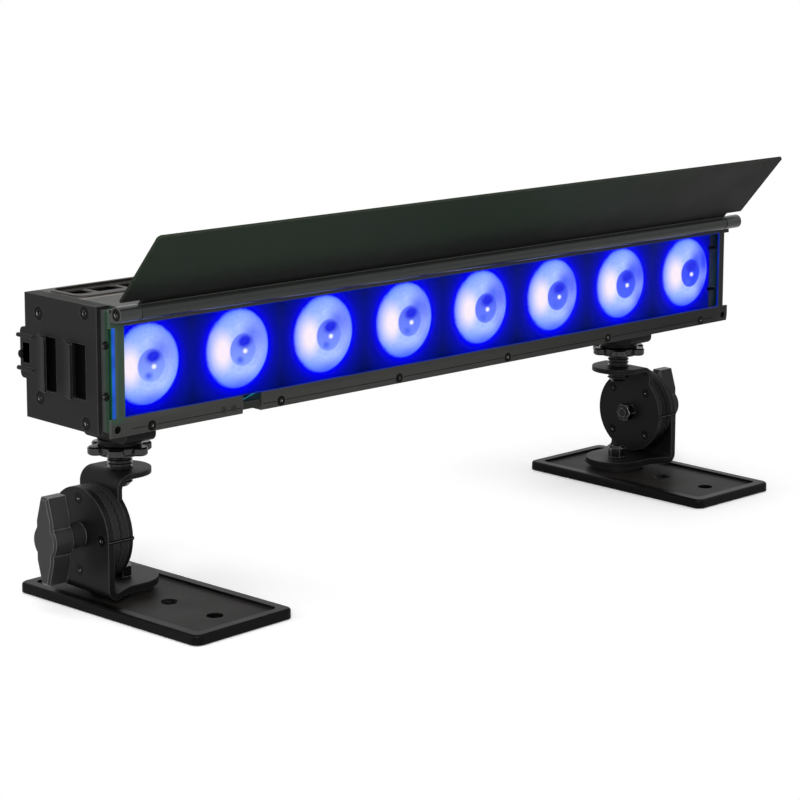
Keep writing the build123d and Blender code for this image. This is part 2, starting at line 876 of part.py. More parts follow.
def make_stud():
    low = tab_top - upper_sheet - stud_tail
    top = bar_low + housing_wall
    root = stud_radius - thread_depth
    points = [(0, low), (root - stud_tip, low)]
    turns = int((block_low - low - stud_tip) / thread_pitch)
    for i in range(turns):
        z = low + stud_tip + i * thread_pitch
        points += [(root, z), (stud_radius, z + thread_pitch / 2)]
    points += [(root, low + stud_tip + turns * thread_pitch), (stud_radius, block_low), (stud_radius, top), (0, top)]
    shank = facing["+Z"] * turned(points)
    head = block((-tee_width / 2, tee_width / 2), (-tee_depth / 2, tee_depth / 2), (top, top + tee_thickness))
    return shank + head


def make_clamp_block():
    body = block((-block_width / 2, block_width / 2), (-block_depth / 2, block_depth / 2), (block_low, bar_low))
    body = fillet(body.edges().filter_by(Axis.X).group_by(Axis.Z)[0], block_corner)
    middle = (block_low + bar_low) / 2
    for side in (-1, 1):
        face = sorted((side * (block_width / 2 - block_slot_depth), side * (block_width / 2 + 1)))
        body -= block(face, (-block_slot_length / 2, block_slot_length / 2),
                      (middle - block_slot_height / 2, middle + block_slot_height / 2))
    collar = Pos(0, 0, (collar_low + block_low) / 2) * Cylinder(collar_radius, collar_height)
    hole = Pos(0, 0, block_low) * Cylinder(stud_radius + shaft_gap, 4 * block_height)
    return body + collar - hole


def make_star_nut():
    outline = Circle(star_core) + PolarLocations(star_lobe_centre, star_lobe_count) * Circle(star_lobe)
    nut = extrude(outline, star_thickness)
    nut = chamfer(nut.edges().group_by(Axis.Z)[0] + nut.edges().group_by(Axis.Z)[-1], star_edge)
    nut += Pos(0, 0, -star_hub_drop / 2) * Cylinder(star_hub, star_hub_drop)
    return Pos(0, 0, star_low) * Rot(0, 0, star_turn) * (nut - Cylinder(stud_radius + shaft_gap, 4 * star_thickness))


def bent_sheet(t, leg, rise, width, outer):
    # L section: outer corner at the origin, one leg towards -X, one towards +Z
    inner = outer - t
    slant = math.sqrt(0.5)
    big = ThreePointArc((-outer, 0), (-outer + outer * slant, outer - outer * slant), (0, outer))
    small = ThreePointArc((-t, outer), (-outer + inner * slant, outer - inner * slant), (-outer, t))
    lines = Line((0, outer), (0, rise)) + Line((0, rise), (-t, rise)) + Line((-t, rise), (-t, outer))
    lines += Line((-outer, t), (-leg, t)) + Line((-leg, t), (-leg, 0)) + Line((-leg, 0), (-outer, 0))
    section = make_face(big + lines + small)
    return Pos(0, width / 2, 0) * Rot(90, 0, 0) * extrude(section, width, dir=(0, 0, 1))


def rosette_disc(radius, x):
    return bar_rod(radius, x, 0, pivot_z)


def make_upper_bracket():
    leg = upper_plate_outer + upper_half_width + 1
    bend = bent_sheet(upper_sheet, leg, tab_rise + rosette_radius + 1, 2 * rosette_radius + 1, upper_bend)
    bend = Pos(upper_plate_outer, 0, tab_top) * bend.mirror(Plane.XY)
    tab_low = tab_top - upper_sheet
    side_view = rosette_disc(rosette_radius, (-leg, upper_plate_outer + 1))
    side_view += block((-leg, upper_plate_outer + 1), (-upper_half_width, upper_half_width), (pivot_z, tab_top))
    reach = tab_top - pivot_z + rosette_radius + 2
    top_view = Pos(0, 0, tab_top - reach / 2) * Cylinder(upper_half_width, reach + 2)
    top_view += block((0, upper_plate_outer + 1), (-upper_half_width, upper_half_width),
                      (tab_low - reach, tab_top + 1))
    top_view += block((upper_plate_inner - 1, upper_plate_outer + 1), (-rosette_radius, rosette_radius),
                      (tab_low - reach, tab_top + 1))
    bracket = bend & side_view & top_view
    bracket -= Pos(0, 0, tab_top) * Cylinder(stud_radius + shaft_gap, 4 * upper_sheet)
    bracket -= pivot_hole(upper_plate_inner - 1, upper_plate_outer + 1)
    return bracket - [spot * countersink(rosette_screw) for spot in rosette_screw_spots(upper_plate_inner, "-X", 45)]


def pivot_hole(start, end):
    return bar_rod(pivot_bolt_radius + shaft_gap, (start, end), 0, pivot_z)


def rosette_screw_spots(x, out, first):
    spots = []
    for i in range(4):
        angle = math.radians(first + 90 * i)
        y = rosette_screw_circle * math.cos(angle)
        z = pivot_z + rosette_screw_circle * math.sin(angle)
        spots.append(Pos(x, y, z) * facing[out])
    return spots


def tooth_grooves(face, depth, first):
    # Radial V grooves round a toothed face, with a narrow land between them
    ends = []
    for reach in (tooth_inner_radius, rosette_radius + 1):
        width = tooth_share * math.pi * reach / tooth_count
        deep = depth * reach / rosette_radius
        ends.append(Pos(0, 0, reach) * flat([(face, -width), (face, width), (face + deep, 0)]))
    groove = loft(ends, ruled=True)
    step = 360 / tooth_count
    return [Pos(0, 0, pivot_z) * Rot((i + first) * step, 0, 0) * groove for i in range(tooth_count)]


def index_mark(start, end):
    return block((start, end), (-rosette_radius - 1, -rosette_radius + index_groove),
                 (pivot_z - index_groove / 2, pivot_z + index_groove / 2))


def make_inner_rosette():
    disc = rosette_disc(rosette_radius, (upper_plate_outer, inner_tips))
    disc -= tooth_grooves(inner_tips, -tooth_depth, 0)
    disc -= [pivot_hole(upper_plate_inner, seam + 1), index_mark(upper_plate_outer - 1, seam + 1)]
    return disc - [spot * pilot(rosette_screw) for spot in rosette_screw_spots(upper_plate_inner, "-X", 45)]


def make_outer_rosette():
    disc = rosette_disc(rosette_radius, (outer_tips, lower_plate_inner))
    disc -= tooth_grooves(outer_tips, tooth_depth, 0.5)
    disc -= [pivot_hole(seam - 1, lower_plate_outer), index_mark(seam - 1, lower_plate_inner + 1)]
    return disc - [spot * pilot(rosette_screw) for spot in rosette_screw_spots(lower_plate_outer, "+X", 0)]


def make_inner_rosette_screws():
    return [spot * countersunk_screw(rosette_screw) for spot in rosette_screw_spots(upper_plate_inner, "-X", 45)]


def make_outer_rosette_screws():
    return [spot * countersunk_screw(rosette_screw) for spot in rosette_screw_spots(lower_plate_outer, "+X", 0)]


def make_centre_nut():
    nut = Pos(upper_plate_inner, 0, pivot_z) * facing["+X"] * hex_prism(pivot_nut_flats, pivot_nut_length)
    return nut - pivot_hole(upper_plate_inner - pivot_nut_length - 1, upper_plate_inner + 1)


def make_lower_bracket():
    leg = lower_plate_outer + lower_tab_radius + 1
    width = 2 * rosette_radius
    bend = bent_sheet(lower_sheet, leg, pivot_rise + rosette_radius + 1, width + 1, lower_bend)
    bend = Pos(lower_plate_outer, 0, lower_tab_low) * bend
    end = lower_plate_outer + 1
    side_view = rosette_disc(rosette_radius, (-leg, end))
    side_view += block((-leg, end), (-rosette_radius, rosette_radius), (lower_tab_low - 1, pivot_z))
    tall = pivot_rise + rosette_radius + 4
    corner = lower_plate_outer - lower_bend
    plan = flat([(0, -lower_tab_radius), (corner - lower_tab_taper, -lower_tab_radius),
                 (corner, -rosette_radius), (end, -rosette_radius), (end, rosette_radius),
                 (corner, rosette_radius), (corner - lower_tab_taper, lower_tab_radius),
                 (0, lower_tab_radius)])
    top_view = extrude(plan + Circle(lower_tab_radius), tall)
    bracket = bend & side_view & (Pos(0, 0, lower_tab_low - 1) * top_view)
    bracket -= Pos(0, 0, lower_tab_low) * Cylinder(base_bolt_radius + shaft_gap, 4 * lower_sheet)
    bracket -= pivot_hole(lower_plate_inner - 1, end)
    return bracket - [spot * countersink(rosette_screw) for spot in rosette_screw_spots(lower_plate_outer, "+X", 0)]


def make_t_handle():
    start = upper_plate_inner - pivot_nut_length - 1
    root = lower_plate_outer + handle_neck_length
    bolt = bar_rod(pivot_bolt_radius, (start, root + 1), 0, pivot_z)
    neck = bar_rod(handle_neck_radius, (lower_plate_outer, root + 1), 0, pivot_z)
    blade = flat([(-handle_tip_half, handle_half_height), (handle_tip_half, handle_half_height),
                  (handle_root_half, handle_root_height), (handle_root_half, -handle_root_height),
                  (handle_tip_half, -handle_half_height), (-handle_tip_half, -handle_half_height),
                  (-handle_root_half, -handle_root_height), (-handle_root_half, handle_root_height)])
    outline = blade + Circle(handle_hub_radius)
    grip = extrude(outline, handle_blade_width)
    grip = chamfer(grip.edges().group_by(Axis.Z)[0] + grip.edges().group_by(Axis.Z)[-1], handle_edge)
    grip = Pos(root, 0, pivot_z) * (Plane.YZ * grip)
    return bolt + neck + grip


def make_puck():
    puck = Pos(0, 0, recess_floor + puck_thickness / 2) * Cylinder(puck_radius, puck_thickness)
    return puck - Cylinder(base_bolt_radius + shaft_gap, 4 * base_thickness)


def make_base_bolt():
    low = slip_gap
    tab_high = lower_tab_low + lower_sheet
    top = tab_high + base_nut_height + 1
    bolt = turned([(0, low), (base_bolt_head_radius, low), (base_bolt_head_radius, low + base_bolt_head_height),
                   (base_bolt_radius, low + base_bolt_head_height), (base_bolt_radius, top), (0, top)])
    bolt = facing["+Z"] * bolt
    nut = Pos(0, 0, tab_high + base_nut_height) * facing["+Z"] * hex_prism(base_nut_flats, base_nut_height)
    nut -= Pos(0, 0, top) * Cylinder(base_bolt_radius + shaft_gap, 4 * top)
    return group([bolt, nut])


def make_base_plate(yaw):
    middle = Pos(0, -base_bolt_offset, 0)
    plate = middle * extrude(RectangleRounded(base_width, base_length, base_corner), base_thickness)
    plate = fillet(plate.edges().group_by(Axis.Z)[-1], base_edge)
    tray = RectangleRounded(base_width - 2 * base_rim, base_length - 2 * base_rim, tray_corner)
    plate -= middle * Pos(0, 0, recess_floor) * extrude(tray, base_thickness)
    for along in (-base_hole_offset, base_hole_offset):
        plate -= middle * Pos(0, along, 0) * Cylinder(base_hole_radius, 4 * base_thickness)
    sink = (base_sink_radius, base_sink_shank, base_thickness + 1)
    plate -= middle * Pos(0, -base_sink_offset, recess_floor) * facing["+Z"] * countersink(sink)
    plate -= Cylinder(base_bolt_radius + shaft_gap, 4 * base_thickness)
    well = slip_gap + base_bolt_head_height + shaft_gap
    plate -= Pos(0, 0, well / 2 - 1) * Cylinder(base_bolt_head_radius + slip_gap, well + 2)
    return Rot(0, 0, yaw) * plate


def to_foot(x, side):
    # Moves a foot piece to its stud; the left foot is turned to face outwards
    return Pos(x, stud_y, 0) * Rot(0, 0, 0 if side > 0 else 180)


def make_all():
    nodes = {
        "housing": make_housing(),
        "vent_cover": make_vent_cover(),
        "cover_screws": make_cover_screws(),
        "front_frame": make_front_frame(),
        "rail_screws": make_rail_screws(),
        "frame_catch": make_frame_catch(),
        "glass": make_glass(),
        "glass_gasket": make_gasket(),
        "inner_frame": make_inner_frame(),
        "side_screws": make_side_screws(),
        "lens_mask": make_lens_mask(),
        "led_board": make_led_board(),
        "led_emitters": make_led_emitters(),
        "flap": make_flap(),
        "hinge_screws": make_hinge_screws(),
        "end_plate_left": make_end_plate(-1),
        "end_plate_right": make_end_plate(1),
        "end_plate_screws": make_end_plate_screws(),
        "link_studs": make_link_studs(),
        "rear_panel": make_rear_panel(),
        "display": make_display(),
        "driver_board": make_driver_board(),
    }
    for i, x in enumerate(pixel_places()):
        nodes[f"lens_{i + 1}"] = make_lens(x)
    for name, x in zip(button_names, button_places):
        nodes[name] = make_button(x)
    for name, (x, size) in socket_places().items():
        nodes[name] = make_socket(x, size)
    nodes.update(make_feet())
    return nodes


def make_feet():
    places = [to_foot(x, side) for x, side in stud_places]
    stud = make_stud()
    clamp = make_clamp_block()
    bracket = make_upper_bracket()
    inner = make_inner_rosette()
    inner_screws = make_inner_rosette_screws()
    nut = make_centre_nut()
    feet = {
        "studs": group([place * stud for place in places]),
        "clamp_blocks": group([place * clamp for place in places]),
        "upper_brackets": group([place * bracket for place in places]),
        "inner_rosettes": group([place * inner for place in places]),
        "inner_rosette_screws": group([place * screw for place in places for screw in inner_screws]),
        "centre_nuts": group([place * nut for place in places]),
    }
    outer = make_outer_rosette()
    outer_screws = make_outer_rosette_screws()
    lower = make_lower_bracket()
    handle = make_t_handle()
    star = make_star_nut()
    puck = make_puck()
    bolt = make_base_bolt()
    for name, place in zip(("left", "right"), places):
        feet[f"star_nut_{name}"] = place * star
        feet[f"outer_rosette_{name}"] = place * outer
        feet[f"outer_screws_{name}"] = group([place * screw for screw in outer_screws])
        feet[f"lower_bracket_{name}"] = place * lower
        feet[f"t_handle_{name}"] = place * handle
        feet[f"puck_{name}"] = place * puck
        feet[f"base_bolt_{name}"] = place * bolt
    for name, (x, side), yaw in zip(("left", "right"), stud_places, (left_base_yaw, right_base_yaw)):
        feet[f"base_plate_{name}"] = Pos(x, stud_y, 0) * make_base_plate(yaw)
    return feet


nodes = make_all()
box = Compound(children=[solid for piece in nodes.values() for solid in piece.solids()]).bounding_box()
centre_x = (box.min.X + box.max.X) / 2
centre_y = (box.min.Y + box.max.Y) / 2
print("nodes", len(nodes))
print("centre of the part", round(centre_x, 4), round(centre_y, 4), "size", box.size)
print("hinge", hinge_y, hinge_z, "pivot", stud_y, pivot_z, "bar", bar_low, bar_top)
for name, piece in nodes.items():
    export_step(Pos(-centre_x, -centre_y, 0) * piece, f"parts/{name}.step")
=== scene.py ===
import json
import math

import bmesh
import bpy
from mathutils import Matrix, Vector


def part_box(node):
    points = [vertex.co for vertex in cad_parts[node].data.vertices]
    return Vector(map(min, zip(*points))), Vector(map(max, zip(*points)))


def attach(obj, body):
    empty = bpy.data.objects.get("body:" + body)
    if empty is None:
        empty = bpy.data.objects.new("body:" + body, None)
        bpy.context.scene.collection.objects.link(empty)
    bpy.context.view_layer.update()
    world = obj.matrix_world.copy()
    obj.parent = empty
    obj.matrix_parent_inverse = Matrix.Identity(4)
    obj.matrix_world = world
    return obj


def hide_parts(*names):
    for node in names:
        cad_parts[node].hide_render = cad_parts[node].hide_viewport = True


# LED pixel bar on two tilting feet. Metres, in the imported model's own frame:
# +X along the bar, the light leaves towards -Y, +Z up.

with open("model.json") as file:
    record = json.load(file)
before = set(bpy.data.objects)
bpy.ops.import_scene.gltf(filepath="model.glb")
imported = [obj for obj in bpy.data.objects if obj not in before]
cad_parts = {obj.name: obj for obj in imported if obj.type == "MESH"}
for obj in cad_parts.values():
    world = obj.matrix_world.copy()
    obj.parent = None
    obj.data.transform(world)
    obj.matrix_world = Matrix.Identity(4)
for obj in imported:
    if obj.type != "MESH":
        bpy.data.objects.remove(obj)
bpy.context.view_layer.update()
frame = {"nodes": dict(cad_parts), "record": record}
mm = 0.001
recordSlots = {part["node"]: part["material_slot"] for part in frame["record"]["subparts"]}
bodies = frame["record"]["behaviour"]["bodies"]
bodyOfNode = {node: body for body, members in bodies.items() for node in members}
basePlates = ("base_plate_left", "base_plate_right")
print("frame loaded with", len(frame["nodes"]), "nodes")


def middle(node):
    low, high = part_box(node)
    return (low + high) / 2


barOrigin = Vector((4.5, -16.3465, 0.0))  # middle of the bar at the frame's face, on the floor, in mm


def at(x, y, z):
    # Point given in mm from the bar's middle, the frame's face and the floor
    return (barOrigin + Vector((x, y, z))) * mm


# Node helpers

def addNode(tree, kind, inputs=None, **settings):
    node = tree.nodes.new(kind)
    for name, value in settings.items():
        setattr(node, name, value)
    for name, value in (inputs or {}).items():
        if isinstance(value, bpy.types.NodeSocket):
            tree.links.new(value, node.inputs[name])
        else:
            node.inputs[name].default_value = value
    return node


def calc(tree, operation, first, second=0.0, clamp=False):
    inputs = {0: first, 1: second}
    return addNode(tree, "ShaderNodeMath", inputs, operation=operation, use_clamp=clamp).outputs[0]


def lengthOf(tree, first, second):
    squares = [calc(tree, "MULTIPLY", value, value) for value in (first, second)]
    return calc(tree, "SQRT", calc(tree, "ADD", *squares))


def blendColour(tree, factor, first, second, mode="MIX"):
    inputs = {0: factor, 6: first, 7: second}
    mix = addNode(tree, "ShaderNodeMix", inputs, data_type="RGBA", blend_type=mode, clamp_factor=True)
    return mix.outputs[2]


def remap(tree, value, fromLow, fromHigh, toLow, toHigh, style="LINEAR"):
    inputs = {"Value": value, "From Min": fromLow, "From Max": fromHigh, "To Min": toLow, "To Max": toHigh}
    return addNode(tree, "ShaderNodeMapRange", inputs, interpolation_type=style).outputs[0]


def ramp(tree, factor, stops):
    node = addNode(tree, "ShaderNodeValToRGB", {"Fac": factor})
    for place, _ in stops[2:]:
        node.color_ramp.elements.new(place)
    for item, (place, colour) in zip(node.color_ramp.elements, stops):
        item.position = place
        item.color = colour
    return node.outputs[0]


def objectPlace(tree):
    return addNode(tree, "ShaderNodeTexCoord").outputs["Object"]


def axesOf(tree, vector):
    return addNode(tree, "ShaderNodeSeparateXYZ", {0: vector}).outputs


def noiseValue(tree, place, scale, detail, roughness=0.5):
    inputs = {"Vector": place, "Scale": scale, "Detail": detail, "Roughness": roughness}
    return addNode(tree, "ShaderNodeTexNoise", inputs).outputs["Fac"]


def screen(red, green, blue):
    # Colour as a screen shows it, 0 to 255, turned into the linear one that shaders take
    def line(value):
        value /= 255
        return value / 12.92 if value <= 0.04045 else ((value + 0.055) / 1.055) ** 2.4
    return (line(red), line(green), line(blue), 1.0)


def scaled(colour, share):
    return tuple(value * share for value in colour[:3]) + (1.0,)


def newGroup(name, sockets):
    # sockets: (name, "INPUT" or "OUTPUT", kind, default)
    group = bpy.data.node_groups.new(name, "ShaderNodeTree")
    for label, direction, kind, default in sockets:
        socket = group.interface.new_socket(name=label, in_out=direction, socket_type=kind)
        if default is not None:
            socket.default_value = default
    return group, addNode(group, "NodeGroupInput").outputs, addNode(group, "NodeGroupOutput").inputs


# Shared effects

edgeLook = {"samples": 4, "flat": 0.995, "fullEdge": 0.86,
            "patchScale": 260.0, "patchDetail": 4.0, "patch": (0.35, 0.65)}


def makeEdgeGroup():
    # Mask of edges painted lighter, partly as wear and partly as a painted highlight, broken up by noise
    look = edgeLook
    group, given, result = newGroup("edgeWearAndHighlight", [
        ("Radius", "INPUT", "NodeSocketFloat", 0.0005),
        ("Breakup", "INPUT", "NodeSocketFloat", 0.4),
        ("Mask", "OUTPUT", "NodeSocketFloat", None),
    ])
    rounded = addNode(group, "ShaderNodeBevel", {"Radius": given["Radius"]}, samples=look["samples"])
    normals = {0: rounded.outputs[0], 1: addNode(group, "ShaderNodeNewGeometry").outputs["Normal"]}
    dot = addNode(group, "ShaderNodeVectorMath", normals, operation="DOT_PRODUCT").outputs["Value"]
    edge = remap(group, dot, look["flat"], look["fullEdge"], 0.0, 1.0)
    noise = noiseValue(group, objectPlace(group), look["patchScale"], look["patchDetail"])
    patch = remap(group, noise, *look["patch"], 0.0, 1.0)
    kept = calc(group, "SUBTRACT", 1.0, calc(group, "MULTIPLY", given["Breakup"], patch))
    group.links.new(calc(group, "MULTIPLY", edge, kept, clamp=True), result["Mask"])
    return group


grainLook = {"fineDetail": 3.0, "fineRoughness": 0.6, "slowScale": 34.0, "slowDetail": 3.0,
             "fineHeight": 0.7, "peelHeight": 0.5, "fineTone": 0.45, "slowTone": 0.55}


def makeGrainGroup():
    # Fine grain of a powder coat or moulded plastic, with a slow change of tone
    look = grainLook
    group, given, result = newGroup("fineGrain", [
        ("Grain", "INPUT", "NodeSocketFloat", 2200.0),
        ("Peel", "INPUT", "NodeSocketFloat", 420.0),
        ("Height", "OUTPUT", "NodeSocketFloat", None),
        ("Tone", "OUTPUT", "NodeSocketFloat", None),
    ])
    place = objectPlace(group)
    fine = noiseValue(group, place, given["Grain"], look["fineDetail"], look["fineRoughness"])
    slow = noiseValue(group, place, look["slowScale"], look["slowDetail"])
    cells = {"Vector": place, "Scale": given["Peel"]}
    peel = addNode(group, "ShaderNodeTexVoronoi", cells, feature="SMOOTH_F1").outputs["Distance"]
    height = calc(group, "ADD", calc(group, "MULTIPLY", fine, look["fineHeight"]),
                  calc(group, "MULTIPLY", peel, look["peelHeight"]))
    tone = calc(group, "ADD", calc(group, "MULTIPLY", fine, look["fineTone"]),
                calc(group, "MULTIPLY", slow, look["slowTone"]))
    group.links.new(height, result["Height"])
    group.links.new(tone, result["Tone"])
    return group


dustLook = {"cloudScale": 60.0, "cloudDetail": 6.0, "cloudRoughness": 0.7, "cloud": (0.4, 0.7),
            "speckScale": 1500.0, "speckDetail": 1.0, "speck": (0.45, 0.62), "leastSpeck": 0.3, "slope": 0.3}


def makeDustGroup():
    # Thin dust that settles on faces turned up
    look = dustLook
    group, given, result = newGroup("thinDust", [
        ("Amount", "INPUT", "NodeSocketFloat", 0.1),
        ("Mask", "OUTPUT", "NodeSocketFloat", None),
    ])
    place = objectPlace(group)
    cloud = noiseValue(group, place, look["cloudScale"], look["cloudDetail"], look["cloudRoughness"])
    speck = noiseValue(group, place, look["speckScale"], look["speckDetail"])
    normal = addNode(group, "ShaderNodeNewGeometry").outputs["Normal"]
    up = remap(group, axesOf(group, normal)["Z"], look["slope"], 1.0, 0.0, 1.0)
    spots = calc(group, "MULTIPLY", remap(group, cloud, *look["cloud"], 0.0, 1.0),
                 remap(group, speck, *look["speck"], look["leastSpeck"], 1.0))
    mask = calc(group, "MULTIPLY", calc(group, "MULTIPLY", up, spots), given["Amount"], clamp=True)
    group.links.new(mask, result["Mask"])
    return group


edgeGroup = makeEdgeGroup()
grainGroup = makeGrainGroup()
dustGroup = makeDustGroup()
print("shared effects ready")


def placeGroup(tree, group, **inputs):
    node = addNode(tree, "ShaderNodeGroup", node_tree=group)
    for name, value in inputs.items():
        node.inputs[name].default_value = value
    return node


def newMaterial(name):
    material = bpy.data.materials.new(name)
    material.use_nodes = True
    tree = material.node_tree
    return material, tree, tree.nodes["Principled BSDF"]


def zoneMask(tree, zone):
    # 1 past "full" and 0 before "none", both in mm along an axis or away from a line along the bar
    axes = axesOf(tree, objectPlace(tree))
    if "line" in zone:
        lineY, lineZ = at(0, *zone["line"]).yz
        dy = calc(tree, "SUBTRACT", axes["Y"], lineY)
        dz = calc(tree, "SUBTRACT", axes["Z"], lineZ)
        value = lengthOf(tree, dy, dz)
        shift = 0.0
    else:
        value = axes[zone["axis"]]
        shift = at(0, 0, 0)["XYZ".index(zone["axis"])]
    return remap(tree, value, zone["none"] * mm + shift, zone["full"] * mm + shift, 0.0, 1.0, "SMOOTHSTEP")


# What a coat has where it names nothing else; radius and depth in mm
plainCoat = {
    "peel": 420.0, "tone": (0.3, 0.7), "darker": 0.8, "lighter": 1.24, "roughSpread": 0.07, "zones": [],
    # edgeColour is a painted highlight on rounded edges, partly wear
    "edgeRadius": 0.6, "breakup": 0.4, "edgeShare": 0.5, "edgeColour": screen(84, 82, 80),
    "dust": 0.06, "dustColour": screen(120, 116, 108), "dustRoughness": 0.3,
    "bump": 0.35, "bumpDepth": 0.05, "specular": 0.2, "metallic": 0.0,
}


def coatMaterial(name, finish):
    # Painted, moulded or blackened surface: tone, grain, zones of painted light and shade, edges painted
    # lighter as highlight and wear, and dust
    look = {**plainCoat, **finish}
    material, tree, shader = newMaterial(name)
    grain = placeGroup(tree, grainGroup, Grain=look["grain"], Peel=look["peel"])
    edges = placeGroup(tree, edgeGroup, Radius=look["edgeRadius"] * mm, Breakup=look["breakup"])
    dust = placeGroup(tree, dustGroup, Amount=look["dust"])
    tone = remap(tree, grain.outputs["Tone"], *look["tone"], 0.0, 1.0)
    dark, light = scaled(look["colour"], look["darker"]), scaled(look["colour"], look["lighter"])
    base = blendColour(tree, tone, dark, light)
    smooth, coarse = look["roughness"] - look["roughSpread"], look["roughness"] + look["roughSpread"]
    rough = remap(tree, grain.outputs["Tone"], *look["tone"], smooth, coarse)
    # Most zones paint light or shade; a zone with a roughness gives a clear-coated tone
    for zone in look["zones"]:
        mask = zoneMask(tree, zone)
        base = blendColour(tree, mask, base, zone["colour"])
        if "roughness" in zone:  # such a zone also gets a clear coat
            keep = calc(tree, "MULTIPLY", rough, calc(tree, "SUBTRACT", 1.0, mask))
            rough = calc(tree, "ADD", keep, calc(tree, "MULTIPLY", mask, zone["roughness"]))
            tree.links.new(calc(tree, "MULTIPLY", mask, zone["coat"]), shader.inputs["Coat Weight"])
            shader.inputs["Coat Roughness"].default_value = zone["roughness"]
    # Edges painted lighter: a painted highlight that is partly wear
    edgeShare = calc(tree, "MULTIPLY", edges.outputs["Mask"], look["edgeShare"])
    base = blendColour(tree, edgeShare, base, look["edgeColour"])
    base = blendColour(tree, dust.outputs["Mask"], base, look["dustColour"])
    tree.links.new(base, shader.inputs["Base Color"])
    dusty = calc(tree, "MULTIPLY", dust.outputs["Mask"], look["dustRoughness"])
    tree.links.new(calc(tree, "ADD", rough, dusty, clamp=True), shader.inputs["Roughness"])
    relief = {"Strength": look["bump"], "Distance": look["bumpDepth"] * mm, "Height": grain.outputs["Height"]}
    tree.links.new(addNode(tree, "ShaderNodeBump", relief).outputs[0], shader.inputs["Normal"])
    shader.inputs["Specular IOR Level"].default_value = look["specular"]
    shader.inputs["Metallic"].default_value = look["metallic"]
    return material


hinge = (-5.8, 166.0)  # Y and Z of the flap's tube
